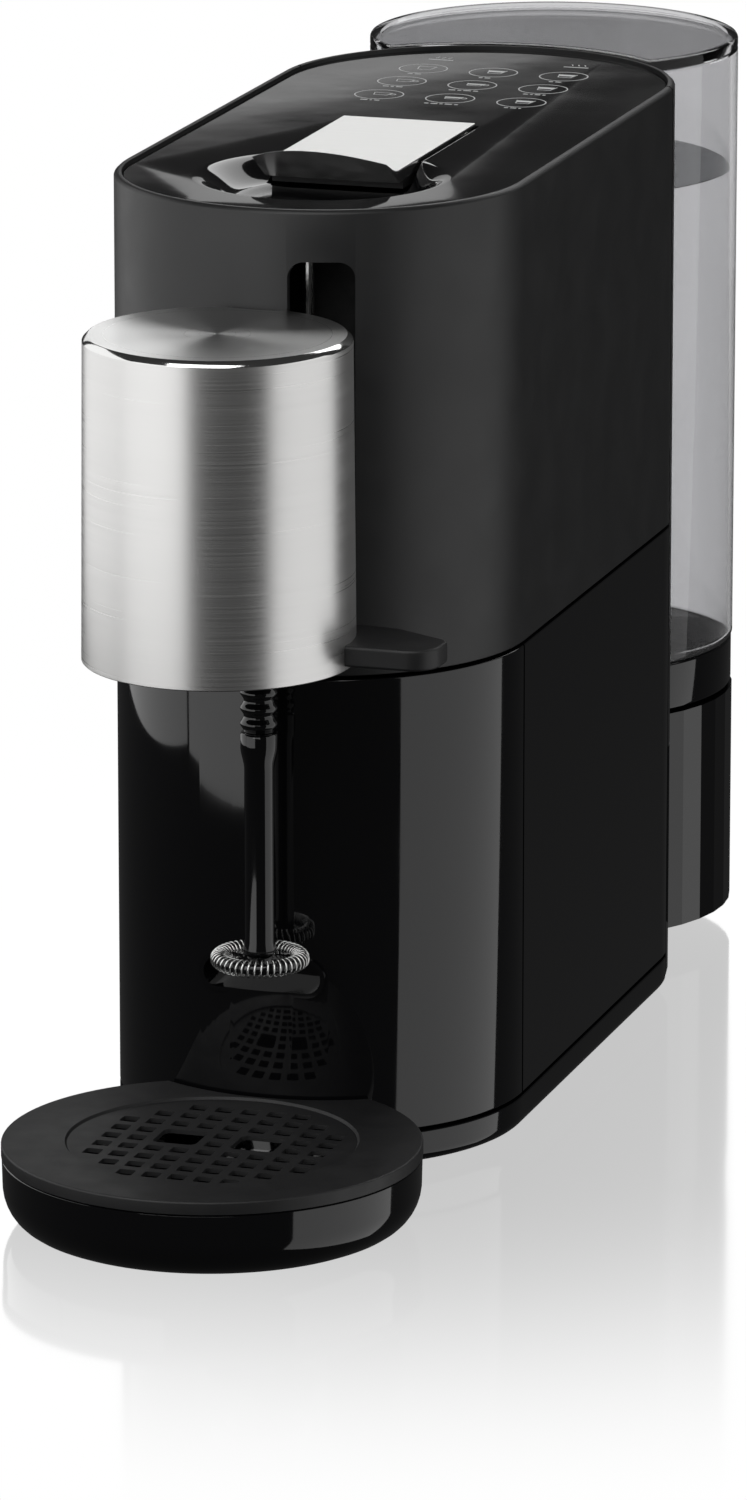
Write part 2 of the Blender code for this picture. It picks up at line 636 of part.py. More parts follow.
join(whisk_ring, rod_x(
    "ring_cross_wire", 0.0008, WHISK_X - RING_R, WHISK_X + RING_R, WHISK_Y, RING_Z - 0.0004, WIRE, 8,
))

# --- drip tray -----------------------------------------------------------------------------------


def tray_outline(inset):
    return bitten(TRAY_Y, TRAY_R - inset, 0, BODY_R + RUN + inset)


tray = loft("drip_tray", [
    (tray_outline(0.0090), TRAY_BOTTOM_Z),
    (tray_outline(0.0040), TRAY_BOTTOM_Z + 0.0016),
    (tray_outline(0.0014), TRAY_BOTTOM_Z + 0.0050),
    (tray_outline(0.0004), TRAY_BOTTOM_Z + 0.0095),
    (tray_outline(0.0002), TRAY_RIM_Z),
], GLOSS)
cut(tray, loft("tray_hollow", [
    (tray_outline(0.0115), TRAY_BOTTOM_Z + 0.0022),
    (tray_outline(TRAY_WALL + 0.002), TRAY_BOTTOM_Z + 0.0070),
    (tray_outline(TRAY_WALL), TRAY_RIM_Z + 0.01),
], GLOSS))
grid = prism("drip_grid", tray_outline(0), TRAY_RIM_Z + FIT, GRID_TOP_Z, MATTE)
made = bmesh.new()


def slit(x, y, size):
    shape = bmesh.ops.create_cube(made, size=1.0)["verts"]
    bmesh.ops.scale(made, verts=shape, vec=(size[0], size[1], 0.02))
    bmesh.ops.translate(made, verts=shape,
        vec=(FIELD_CENTRE[0] + x, TRAY_Y + FIELD_CENTRE[1] + y, GRID_TOP_Z))


corner_cut = SLITS_EACH_WAY + 2   # leaves out the corners of the square pattern
cup_columns = (-1.5, 1.5)
for row in range(-SLITS_EACH_WAY, SLITS_EACH_WAY + 1):
    for column in range(-SLITS_EACH_WAY, SLITS_EACH_WAY + 1):
        under_cup = row in (0, 1) and abs(column) in (1, 2)
        if abs(row) + abs(column) <= corner_cut and not under_cup:
            slit(column * SLIT_PITCH[0], row * SLIT_PITCH[1], SLIT)
for column in cup_columns:
    slit(column * SLIT_PITCH[0], 0.5 * SLIT_PITCH[1], CUP_HOLE)
slits = finish("slit_cutter", made, MATTE, smooth=False)
cut(grid, slits)

# --- water tank and dock ---------------------------------------------------------------------------


def tank_outline(inset):
    return bitten(TANK_Y, TANK_R - inset, REAR_Y, BODY_R + TANK_GAP + inset)


dock = prism("tank_dock", circle(TANK_Y, TANK_R), DOCK_BOTTOM_Z, DOCK_TOP_Z, GLOSS)
join(dock, prism(
    "dock_neck", arc(REAR_Y, BODY_R, -2, 182, 20), DOCK_BOTTOM_Z - 0.002, DOCK_TOP_Z - 0.0001, GLOSS,
))
cut(dock, prism(
    "dock_hollow", circle(TANK_Y, TANK_R - WALL), DOCK_BOTTOM_Z + 0.0025, DOCK_TOP_Z - 0.003, GLOSS,
))
cut(dock, prism(
    "neck_hollow", arc(REAR_Y, BODY_R - WALL, -30, 210, 20), DOCK_BOTTOM_Z + 0.0025,
    DOCK_TOP_Z - 0.003, GLOSS,
))
cut(dock, block("dock_front", (-FAR, FAR), (0, REAR_SEAM_Y + SEAM / 2), (-FAR, FAR), GLOSS))
cut(dock, turned("port_hole", (0, PORT_Y), [(PORT_R, DOCK_TOP_Z - 0.01), (PORT_R, DOCK_TOP_Z + 0.01)], GLOSS))
GLAND_Z = DOCK_BOTTOM_Z + 0.020
GLAND_R = 0.0065
REAR_END_Y = TANK_Y + TANK_R
cut(dock, rod_y("gland_hole", GLAND_R + FIT, 0, REAR_END_Y - 0.01, REAR_END_Y + 0.01, GLAND_Z, GLOSS))
gland = rod_y("cord_gland", GLAND_R, 0, REAR_END_Y - 0.005, REAR_END_Y - 0.0004, GLAND_Z, RUBBER)
cut(gland, rod_y("gland_bore", 0.0035, 0, REAR_END_Y - 0.02, REAR_END_Y + 0.01, GLAND_Z, RUBBER))
ring("dock_seal", (0, PORT_Y), 0.0032, PORT_R - FIT, DOCK_TOP_Z - 0.003, DOCK_TOP_Z - 0.0002, RUBBER)

tank_foot = prism("tank_foot", tank_outline(0.0004), DOCK_TOP_Z + SEAM, TANK_FOOT_TOP_Z - FIT, GLOSS)
cut(tank_foot, turned("valve_bore", (0, PORT_Y), [(0.0062, 0), (0.0062, FAR)], GLOSS))
tank = prism("water_tank", tank_outline(0), TANK_FOOT_TOP_Z, RIM_Z - TANK_LID_T - FIT, SMOKE)
cut(tank, prism("tank_hollow", tank_outline(TANK_WALL), TANK_FOOT_TOP_Z + TANK_WALL, RIM_Z + 0.01, SMOKE))
cut(tank, turned("tank_outlet", (0, PORT_Y), [(0.0040, 0), (0.0040, FAR)], SMOKE))
VALVE_TRAVEL = 0.002
turned("tank_valve", (0, PORT_Y), [
    (0.0030, DOCK_TOP_Z + SEAM + 0.0004), (0.0052, DOCK_TOP_Z + SEAM + 0.003),
    (0.0052, TANK_FOOT_TOP_Z - VALVE_TRAVEL - 0.001),
], INNER)
turned("tank_filter", (0, PORT_Y), [
    (0.0090, TANK_FOOT_TOP_Z + TANK_WALL + FIT), (0.0090, TANK_FOOT_TOP_Z + TANK_WALL + 0.004),
    (0.0060, TANK_FOOT_TOP_Z + TANK_WALL + 0.006),
], INNER)
prism("tank_lid", tank_outline(0), RIM_Z - TANK_LID_T, RIM_Z, SMOKE)

# --- water path: flow meter, pump, heater and hoses ----------------------------------------------------

PUMP_X = -0.026
PUMP_Z = 0.048
PUMP_Y = (REAR_Y - 0.051, REAR_Y - 0.016)
pump = rod_y("pump", 0.017, PUMP_X, *PUMP_Y, PUMP_Z, CAST, 20)
join(pump, rod_y("pump_necks", 0.008, PUMP_X, PUMP_Y[0] - 0.007, PUMP_Y[1] + 0.007, PUMP_Z, CAST))
for mount_name, mount_y in (
    ("pump_mount_front", (PUMP_Y[0] - 0.0045, PUMP_Y[0] - FIT)),
    ("pump_mount_rear", (PUMP_Y[1] + FIT, PUMP_Y[1] + 0.0045)),
):
    cut(
        block(mount_name, (PUMP_X - 0.016, PUMP_X + 0.016), mount_y, (BASE_Z + FIT, PUMP_Z + 0.016), RUBBER),
        rod_y(mount_name + "_bore", 0.0084, PUMP_X, mount_y[0] - WALL, mount_y[1] + WALL, PUMP_Z, RUBBER),
    )
FLOW = (0.024, REAR_Y - 0.028)
flow_meter = turned("flow_meter", FLOW, [(0.014, BASE_Z + FIT), (0.014, BASE_Z + 0.016)], INNER, 20)
join(flow_meter, turned("flow_port", FLOW, [(0.004, BASE_Z + 0.015), (0.004, BASE_Z + 0.022)], INNER))

HEATER_Z = (UPPER_Z + 0.012, UPPER_Z + 0.072)
HEATER_Y = (REAR_Y - 0.052, REAR_Y - 0.010)
heater = block("heater", (-0.034, 0.030), HEATER_Y, HEATER_Z, CAST)
for index in range(3):
    fin_z = HEATER_Z[0] + 0.014 + 0.016 * index
    cut(heater, block(
        f"fin_cutter_{index}", (-0.031, 0.027), (HEATER_Y[1] - 0.005, HEATER_Y[1] + 0.01),
        (fin_z - 0.0035, fin_z + 0.0035), CAST,
    ))
block(
    "heater_bracket", (-0.050, 0.050), (HEATER_Y[0] - 0.004, HEATER_Y[1] + 0.006),
    (UPPER_Z + 0.004, HEATER_Z[0] - FIT), CAST,
)

HOSE_R = 0.0028
heater_top = HEATER_Z[1] + 2 * FIT
brew_z = sum(CAGE_Z) / 2
tube("inlet_hose", [
    (0, PORT_Y, DOCK_TOP_Z - 0.0034), (0, PORT_Y - 0.004, 0.060), (0.004, PORT_Y - 0.046, 0.038),
    (0.012, REAR_Y + 0.022, 0.044), (0.023, REAR_Y - 0.016, 0.049), (*FLOW, 0.0455), (*FLOW, BASE_Z + 0.0226),
], HOSE_R, HOSE)
tube("pressure_hose", [
    (PUMP_X, PUMP_Y[1] + 0.0082, PUMP_Z), (PUMP_X, PUMP_Y[1] + 0.0115, PUMP_Z),
    (PUMP_X + 0.004, REAR_Y + 0.0005, PUMP_Z + 0.010), (-0.010, REAR_Y + 0.0015, 0.090),
    (0.004, REAR_Y + 0.0015, MID_Z - 0.014), (0.010, REAR_Y + 0.0015, UPPER_Z + 0.025),
    (0.012, REAR_Y - 0.002, heater_top + 0.006), (0.008, REAR_Y - 0.024, heater_top + 0.019),
    (0.004, REAR_Y - 0.034, heater_top + 0.010), (0.004, REAR_Y - 0.034, heater_top + 0.005),
    (0.004, REAR_Y - 0.034, heater_top),
], HOSE_R, HOSE)
BREW_PORT_Y = HEATER_Y[0] + 0.008
tube("brew_hose", [
    (-0.024, BREW_PORT_Y, heater_top), (-0.024, BREW_PORT_Y, heater_top + 0.005),
    (-0.025, BREW_PORT_Y - 0.002, heater_top + 0.010), (-0.029, BREW_PORT_Y - 0.013, brew_z - 0.003),
    (-0.034, FRAME_Y[1] - 0.002, brew_z), (-0.036, 0.040, brew_z), (-0.032, 0.008, brew_z),
    (-0.020, -0.006, brew_z), (-0.006, -0.010, brew_z), (0, -0.002, brew_z),
    (0, FRAME_Y[0] - 2 * FIT, brew_z),
], HOSE_R, HOSE)

# --- electronics ------------------------------------------------------------------------------------

BOARD_Z = (UPPER_Z + 0.014, RIM_Z - 0.026)
board = block("main_board", (-0.0610, -0.0594), (REAR_Y - 0.056, REAR_Y - 0.004), BOARD_Z, BOARD)
for index, (above, part_size) in enumerate(((0.017, 0.011), (0.047, 0.008), (0.082, 0.012))):
    join(board, block(
        f"board_part_{index}", (-0.0598, -0.0510), (REAR_Y - 0.030 - part_size, REAR_Y - 0.030 + part_size),
        (BOARD_Z[0] + above - part_size, BOARD_Z[0] + above + part_size), BOARD,
    ))
block("touch_board", (-0.040, 0.040), (pocket_rear_y + 0.008, REAR_Y + 0.040),
      (PANEL_BOTTOM_Z - 0.0035, PANEL_BOTTOM_Z - 0.0019), BOARD)
bpy.context.view_layer.update()
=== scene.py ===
"""The finished look of a slim pod coffee machine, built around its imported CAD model.

Metres, +Z up. X is the width, the cup side faces -Y, the water tank is at +Y.
"""

import json
import math

import bmesh
import bpy
from mathutils import Matrix, Vector


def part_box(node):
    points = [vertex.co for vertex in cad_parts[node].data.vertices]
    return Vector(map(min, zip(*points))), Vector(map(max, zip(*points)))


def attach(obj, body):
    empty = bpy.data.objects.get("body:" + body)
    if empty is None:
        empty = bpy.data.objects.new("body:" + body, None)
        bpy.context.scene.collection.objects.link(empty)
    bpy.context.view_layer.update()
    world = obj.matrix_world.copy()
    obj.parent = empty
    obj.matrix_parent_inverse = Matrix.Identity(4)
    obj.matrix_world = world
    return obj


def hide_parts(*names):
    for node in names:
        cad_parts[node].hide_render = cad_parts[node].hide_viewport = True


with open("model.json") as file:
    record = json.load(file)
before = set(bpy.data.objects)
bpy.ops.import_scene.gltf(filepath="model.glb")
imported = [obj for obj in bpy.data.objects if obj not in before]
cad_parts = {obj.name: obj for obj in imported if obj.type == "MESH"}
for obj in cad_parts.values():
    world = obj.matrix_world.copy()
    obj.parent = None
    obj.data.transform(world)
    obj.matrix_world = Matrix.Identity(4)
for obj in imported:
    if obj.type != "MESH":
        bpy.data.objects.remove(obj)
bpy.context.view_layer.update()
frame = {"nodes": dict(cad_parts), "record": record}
nodes = frame["nodes"]
nodes_dressed = set()

# --- where the body stands --------------------------------------------------------------
# The body is two equal half rounds joined by flat sides. Every later section
# takes its place from these: the middle of the width and the two round centres.

base_low, base_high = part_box("base_plate")
upper_low, upper_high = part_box("upper_housing")
cover_low, cover_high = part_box("rear_cover")
body_x = (base_low.x + base_high.x) / 2
BODY_R = (base_high.x - base_low.x) / 2
front_y = base_low.y + BODY_R
rear_y = cover_high.y - BODY_R
rim_z = upper_high.z
WALL = 0.0025

# --- camera -----------------------------------------------------------------------------
# A long lens a little above the rim, looking down on the cup side from its right.

FROM_FRONT = Vector((0.868, -2.6936, 0.8612))
camera_data = bpy.data.cameras.new("camera")
camera_data.lens = 220.5
camera_data.sensor_width = 36
camera_data.clip_end = 50
camera = bpy.data.objects.new("camera", camera_data)
camera.location = Vector((body_x, front_y, 0)) + FROM_FRONT
camera.rotation_euler = (math.radians(90 - 14.63), 0, math.radians(17.55))
bpy.context.scene.collection.objects.link(camera)
bpy.context.scene.camera = camera

# --- floor, surroundings and lamps ------------------------------------------------------
# A white glossy floor that dims where it mirrors the machine, less so further
# off, and a white sky. The machine's own gloss sees neither, only the lamps.


def link(tree, source, target):
    """Joins an output socket to an input socket."""
    tree.links.new(source, target)


floor_mesh = bmesh.new()
bmesh.ops.create_grid(floor_mesh, x_segments=1, y_segments=1, size=14)
floor_data = bpy.data.meshes.new("floor")
floor_mesh.to_mesh(floor_data)
floor_mesh.free()
floor = bpy.data.objects.new("floor", floor_data)
bpy.context.scene.collection.objects.link(floor)
floor.visible_glossy = False
floor.visible_diffuse = False
floor.visible_shadow = False
floor_look = bpy.data.materials.new("white_floor")
floor_look.use_nodes = True
tree = floor_look.node_tree
tree.nodes.clear()
place = tree.nodes.new("ShaderNodeTexCoord")
shift = tree.nodes.new("ShaderNodeMapping")
shift.inputs["Location"].default_value = (-body_x, -(front_y + rear_y) / 2, 0)
spread = tree.nodes.new("ShaderNodeVectorMath")
spread.operation = "ABSOLUTE"
inward = tree.nodes.new("ShaderNodeVectorMath")
inward.operation = "SUBTRACT"
inward.inputs[1].default_value = (0, (rear_y - front_y) / 2, 0)
outside = tree.nodes.new("ShaderNodeVectorMath")
outside.operation = "MAXIMUM"
outside.inputs[1].default_value = (0, 0, 0)
away = tree.nodes.new("ShaderNodeVectorMath")
away.operation = "LENGTH"
fade = tree.nodes.new("ShaderNodeMapRange")
fade.interpolation_type = "SMOOTHERSTEP"
fade.inputs["From Min"].default_value = 0.04
fade.inputs["From Max"].default_value = 0.42
fade.inputs["To Min"].default_value = 0.44
fade.inputs["To Max"].default_value = 0.0
white = tree.nodes.new("ShaderNodeEmission")
white.inputs["Color"].default_value = (1, 1, 1, 1)
white.inputs["Strength"].default_value = 1.0
mirror = tree.nodes.new("ShaderNodeBsdfGlossy")
mirror.inputs["Color"].default_value = (1, 1, 1, 1)
mirror.inputs["Roughness"].default_value = 0.08
blend = tree.nodes.new("ShaderNodeMixShader")
out = tree.nodes.new("ShaderNodeOutputMaterial")
link(tree, place.outputs["Object"], shift.inputs["Vector"])
link(tree, shift.outputs["Vector"], spread.inputs[0])
link(tree, spread.outputs[0], inward.inputs[0])
link(tree, inward.outputs[0], outside.inputs[0])
link(tree, outside.outputs[0], away.inputs[0])
link(tree, away.outputs["Value"], fade.inputs["Value"])
link(tree, fade.outputs["Result"], blend.inputs[0])
link(tree, white.outputs[0], blend.inputs[1])
link(tree, mirror.outputs[0], blend.inputs[2])
link(tree, blend.outputs[0], out.inputs["Surface"])
floor_data.materials.append(floor_look)

world = bpy.data.worlds.new("studio")
bpy.context.scene.world = world
world.use_nodes = True
tree = world.node_tree
tree.nodes.clear()
path = tree.nodes.new("ShaderNodeLightPath")
sky = tree.nodes.new("ShaderNodeBackground")
sky.inputs["Color"].default_value = (1, 1, 1, 1)
sky.inputs["Strength"].default_value = 1.0
dark = tree.nodes.new("ShaderNodeBackground")
dark.inputs["Color"].default_value = (1, 1, 1, 1)
dark.inputs["Strength"].default_value = 0.03
either = tree.nodes.new("ShaderNodeMath")
either.operation = "MAXIMUM"
pick = tree.nodes.new("ShaderNodeMixShader")
out = tree.nodes.new("ShaderNodeOutputWorld")
link(tree, path.outputs["Is Glossy Ray"], either.inputs[0])
link(tree, path.outputs["Is Diffuse Ray"], either.inputs[1])
link(tree, either.outputs[0], pick.inputs[0])
link(tree, sky.outputs[0], pick.inputs[1])
link(tree, dark.outputs[0], pick.inputs[2])
link(tree, pick.outputs[0], out.inputs["Surface"])

# Groups of things that a lamp lights. A group that only excludes lets it light all the rest.
for_floor = bpy.data.collections.new("lit_by_the_sky_card")
for_floor.objects.link(floor)
for_machine = bpy.data.collections.new("lit_by_the_lamps")
for_machine.objects.link(floor)
for_machine.collection_objects[0].light_linking.link_state = "EXCLUDE"
for_walls = bpy.data.collections.new("all_but_the_pane")
for_walls.objects.link(floor)
for_walls.collection_objects[0].light_linking.link_state = "EXCLUDE"
for_pane = bpy.data.collections.new("the_pane")
for_tops = bpy.data.collections.new("bright_tops")
for_lip = bpy.data.collections.new("the_lever")


def lamp(name, size, glow, seen_by):
    """A rectangular lamp that the camera doesn't see and that lights one group only."""
    data = bpy.data.lights.new(name, "AREA")
    data.shape = "RECTANGLE"
    data.size, data.size_y = size
    data.energy = glow * math.pi * size[0] * size[1]
    made = bpy.data.objects.new(name, data)
    made.visible_camera = False
    made.light_linking.receiver_collection = seen_by
    bpy.context.scene.collection.objects.link(made)
    return made


def standing(name, bearing, distance, foot, top, width, glow, seen_by):
    """An upright lamp facing the machine's front, at a bearing in degrees anticlockwise from +X."""
    made = lamp(name, (width, top - foot), glow, seen_by)
    turn = math.radians(bearing)
    made.location = (
        body_x + math.cos(turn) * distance, front_y + math.sin(turn) * distance, (foot + top) / 2,
    )
    made.rotation_euler = (math.pi / 2, 0, turn + math.pi / 2)


def aimed(name, place, size, glow, target, seen_by):
    """A lamp that faces a target."""
    made = lamp(name, size, glow, seen_by)
    made.location = place
    made.rotation_euler = (Vector(target) - made.location).to_track_quat("-Z", "Y").to_euler()


sky_card = lamp("sky_card", (30, 12), 1.0, for_floor)
sky_card.location = (0, 9, 5.5)
sky_card.rotation_euler = (-math.pi / 2, math.pi, 0)
standing("right_box", 4, 1.2, -1.2, 1.2, 1.7, 0.8, for_machine)
standing("left_front_box", -122, 0.60, 0.03, 0.75, 0.60, 1.1, for_walls)
standing("left_box", 178, 0.60, 0.03, 0.75, 0.75, 1.0, for_walls)
standing("front_box", -88, 2.0, 0.7, 1.7, 1.6, 1.3, for_machine)
aimed("top_front_box", (0.0, -1.2, 1.9), (1.6, 1.0), 2.4, (body_x, front_y, 0.3), for_machine)
aimed("top_rear_box", (0.0, 2.2, 1.9), (2.4, 1.2), 2.0, (body_x, front_y, 0.3), for_machine)
aimed("low_rear_box", (-1.2, 4.0, 1.5), (4.0, 2.0), 0.8, (body_x, front_y, 0.3), for_tops)
pane_card = lamp("pane_card", (2.0, 0.8), 0.45, for_pane)
pane_card.location = (-1.728, 4, 0.777)
pane_card.rotation_euler = (-math.pi / 2, math.pi + math.radians(14), 0)
lip_box = lamp("lip_box", (1.8, 1.4), 0.9, for_lip)
lip_box.location = (body_x - 0.25, front_y - 0.30, -0.55)
lip_box.rotation_euler = (math.pi, 0, 0)
lip_box.light_linking.blocker_collection = for_floor
bpy.context.scene.view_settings.view_transform = "Standard"
bpy.context.scene.view_settings.look = "None"

# --- base plate -------------------------------------------------------------------------
# A glossy black tray-shaped moulding under the whole body, with a rounded lower
# edge, moulded in one piece and screwed up from below.

ARC_STEPS = 96


def spun(shape, start, centre, degrees, steps):
    """Carries a point round a centre, leaving a line of edges, and returns its last point."""
    turned = bmesh.ops.spin(
        shape, geom=[start], cent=(*centre, start.co.z), axis=(0, 0, 1),
        angle=math.radians(degrees), steps=steps, use_merge=False,
    )
    return [v for v in turned["geom_last"] if isinstance(v, bmesh.types.BMVert)][0]


def round_the_body(profile, closed=False):
    """Sweeps (inset, height) stations round the body's outline; an open line of them gets two lids."""
    shape = bmesh.new()
    points = [shape.verts.new((body_x - BODY_R + inset, front_y, z)) for inset, z in profile]
    last = points + [shape.edges.new(pair) for pair in zip(points, points[1:])]
    if closed:
        last.append(shape.edges.new((points[-1], points[0])))
    for centre_y, along in ((front_y, rear_y - front_y), (rear_y, front_y - rear_y)):
        last = bmesh.ops.spin(
            shape, geom=last, cent=(body_x, centre_y, 0), axis=(0, 0, 1), angle=math.pi, steps=ARC_STEPS,
            use_merge=False,
        )["geom_last"]
        edges = [item for item in last if isinstance(item, bmesh.types.BMEdge)]
        last = bmesh.ops.extrude_edge_only(shape, edges=edges)["geom"]
        moved = [item for item in last if isinstance(item, bmesh.types.BMVert)]
        bmesh.ops.translate(shape, verts=moved, vec=(0, along, 0))
        last = moved + [item for item in last if isinstance(item, bmesh.types.BMEdge)]
    bmesh.ops.remove_doubles(shape, verts=shape.verts, dist=1e-6)
    for end in () if closed else (profile[0][1], profile[-1][1]):
        open_edges = [
            edge for edge in shape.edges if edge.is_boundary and abs(edge.verts[0].co.z - end) < 1e-6
        ]
        bmesh.ops.contextual_create(shape, geom=open_edges)
    bmesh.ops.recalc_face_normals(shape, faces=shape.faces)
    return shape


def skin(draw, profile, closed=False):
    """A solid between outlines drawn at (inset, height) stations, capped or joined end to start."""
    shape = bmesh.new()
    rings = []
    for inset, z in profile:
        known = set(shape.edges)
        draw(shape, inset, z)
        rings.append([edge for edge in shape.edges if edge not in known])
    for below, above in zip(rings, rings[1:]):
        bmesh.ops.bridge_loops(shape, edges=below + above)
    if closed:
        bmesh.ops.bridge_loops(shape, edges=rings[-1] + rings[0])
    else:
        bmesh.ops.contextual_create(shape, geom=rings[0])
        bmesh.ops.contextual_create(shape, geom=rings[-1])
    bmesh.ops.recalc_face_normals(shape, faces=shape.faces)
    return shape


SHARP_EDGE = 32  # degrees between two faces past which their shared edge shows


def piece(name, shape, look, body, stands_for=(), sharp=SHARP_EDGE):
    """A finished object from a bmesh, riding on a body, with the one material it is given."""
    data = bpy.data.meshes.new(name)
    shape.to_mesh(data)
    shape.free()
    data.materials.append(look)
    data.shade_smooth()
    data.set_sharp_from_angle(angle=math.radians(sharp))
    made = bpy.data.objects.new(name, data)
    bpy.context.scene.collection.objects.link(made)
    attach(made, body)
    if stands_for:
        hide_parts(*stands_for)
        nodes_dressed.update(stands_for)
    return made


def quarter(inset, z, radius, start, steps=5):
    """Stations round a convex edge: start 0 is the foot of an outer face, 90 its top."""
    return [
        (inset - radius * math.cos(math.radians(start - 90 + 90 * i / steps)),
         z + radius * math.sin(math.radians(start - 90 + 90 * i / steps)))
        for i in range(steps + 1)
    ]


def plain_look(name, colour, roughness, metallic=0.0):
    """A material with its constants set on the shader itself."""
    look = bpy.data.materials.new(name)
    look.use_nodes = True
    own = look.node_tree.nodes["Principled BSDF"]
    own.inputs["Base Color"].default_value = (*colour, 1)
    own.inputs["Roughness"].default_value = roughness
    own.inputs["Metallic"].default_value = metallic
    return look


def vary_roughness(look, scale, low, high, stretch=(1, 1, 1)):
    """Lets the roughness wander between two values with a noise in the object's own space."""
    tree = look.node_tree
    place = tree.nodes.new("ShaderNodeTexCoord")
    mapping = tree.nodes.new("ShaderNodeMapping")
    mapping.inputs["Scale"].default_value = stretch
    noise = tree.nodes.new("ShaderNodeTexNoise")
    noise.inputs["Scale"].default_value = scale
    noise.inputs["Detail"].default_value = 4
    span = tree.nodes.new("ShaderNodeMapRange")
    span.inputs["From Min"].default_value = 0.3
    span.inputs["From Max"].default_value = 0.7
    span.inputs["To Min"].default_value = low
    span.inputs["To Max"].default_value = high
    link(tree, place.outputs["Object"], mapping.inputs["Vector"])
    link(tree, mapping.outputs["Vector"], noise.inputs["Vector"])
    link(tree, noise.outputs["Fac"], span.inputs["Value"])
    link(tree, span.outputs["Result"], tree.nodes["Principled BSDF"].inputs["Roughness"])


def add_bump(look, scale, distance, strength=1.0, stretch=(1, 1, 1)):
    """A fine relief from a noise in the object's own space."""
    tree = look.node_tree
    place = tree.nodes.new("ShaderNodeTexCoord")
    mapping = tree.nodes.new("ShaderNodeMapping")
    mapping.inputs["Scale"].default_value = stretch
    noise = tree.nodes.new("ShaderNodeTexNoise")
    noise.inputs["Scale"].default_value = scale
    noise.inputs["Detail"].default_value = 3
    bump = tree.nodes.new("ShaderNodeBump")
    bump.inputs["Strength"].default_value = strength
    bump.inputs["Distance"].default_value = distance
    link(tree, place.outputs["Object"], mapping.inputs["Vector"])
    link(tree, mapping.outputs["Vector"], noise.inputs["Vector"])
    link(tree, noise.outputs["Fac"], bump.inputs["Height"])
    link(tree, bump.outputs["Normal"], tree.nodes["Principled BSDF"].inputs["Normal"])


def gloss_black():
    """Deep black high-gloss ABS with a trace of handling marks and a very slight moulding ripple."""
    look = plain_look("gloss_black", (0.0035, 0.0035, 0.004), 0.05)
    vary_roughness(look, 30, 0.035, 0.075)
    add_bump(look, 22, 0.00003)
    look.node_tree.nodes["Principled BSDF"].inputs["Coat Weight"].default_value = 0.3
    look.node_tree.nodes["Principled BSDF"].inputs["Coat Roughness"].default_value = 0.02
    return look


GLOSS = gloss_black()
BASE_EDGE = 0.0042
BASE_RIM = 0.0003
base = round_the_body(
    quarter(BASE_EDGE, base_low.z + BASE_EDGE, BASE_EDGE, 0, 8)
    + [(0, base_high.z - BASE_RIM), (BASE_RIM, base_high.z)]
)


def trim(shape, y, keep_front=True, hollow=True):
    """Saws a shell across at y and closes the cut, one face for each wall it went through."""
    sawn = bmesh.ops.bisect_plane(
        shape, geom=shape.verts[:] + shape.edges[:] + shape.faces[:], dist=1e-7,
        plane_co=(0, y, 0), plane_no=(0, 1 if keep_front else -1, 0), clear_outer=True,
    )
    cut = [edge for edge in sawn["geom_cut"] if isinstance(edge, bmesh.types.BMEdge)]
    left = [edge for edge in cut if edge.verts[0].co.x < body_x]
    right = [edge for edge in cut if edge.verts[0].co.x >= body_x]
    for loop in (left, right) if hollow else (cut,):
        bmesh.ops.contextual_create(shape, geom=loop)
    bmesh.ops.recalc_face_normals(shape, faces=shape.faces)


trim(base, base_high.y, hollow=False)
piece("base_moulding", base, GLOSS, "chassis", ["base_plate"])

# --- lower housing and capsule drawer ---------------------------------------------------
# The lower body is a gloss black shell. Its round front is the face of the
# drawer that holds used capsules, and a pill-shaped recess in it takes a finger.

lower_low, lower_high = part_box("lower_housing")
drawer_low, drawer_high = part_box("drawer_front")
LOWER_EDGE = 0.0005


def body_shell(z0, z1, top_edge, wall=WALL):
    """A closed wall that follows the body, with small rounded edges."""
    return round_the_body((
        [(wall, z0)] + quarter(LOWER_EDGE, z0 + LOWER_EDGE, LOWER_EDGE, 0, 3)
        + quarter(top_edge, z1 - top_edge, top_edge, 90, 4) + [(wall, z1)]
    ), closed=True)


lower = body_shell(lower_low.z, lower_high.z, LOWER_EDGE)
trim(lower, lower_low.y, keep_front=False)
trim(lower, lower_high.y)
piece("lower_shell", lower, GLOSS, "chassis", ["lower_housing"])


def whittle(made, cutter, operation="DIFFERENCE"):
    """Cuts a finished piece with a second bmesh, and keeps only the result."""
    data = bpy.data.meshes.new("cutter")
    cutter.to_mesh(data)
    cutter.free()
    tool = bpy.data.objects.new("cutter", data)
    bpy.context.scene.collection.objects.link(tool)
    change = made.modifiers.new("cut", "BOOLEAN")
    change.operation = operation
    change.object = tool
    bpy.context.view_layer.update()
    graph = bpy.context.evaluated_depsgraph_get()
    result = bpy.data.meshes.new_from_object(made.evaluated_get(graph))
    made.modifiers.remove(change)
    made.data = result
    bpy.data.objects.remove(tool)
    result.shade_smooth()
    result.set_sharp_from_angle(angle=math.radians(SHARP_EDGE))


def pill(half_x, z0, z1, y0, y1, mid_x, radius=None):
    """A block with round ends, lying along X and driven through along Y."""
    shape = bmesh.new()
    bmesh.ops.create_cube(shape, size=1)
    bmesh.ops.scale(shape, verts=shape.verts, vec=(2 * half_x, y1 - y0, z1 - z0))
    bmesh.ops.translate(shape, verts=shape.verts, vec=(mid_x, (y0 + y1) / 2, (z0 + z1) / 2))
    round_edges = [e for e in shape.edges if abs(e.verts[0].co.y - e.verts[1].co.y) > (y1 - y0) / 2]
    bmesh.ops.bevel(
        shape, geom=round_edges, offset=radius or (z1 - z0) / 2.001, affect="EDGES", segments=12,
        profile=0.5, material=-1,
    )
    return shape


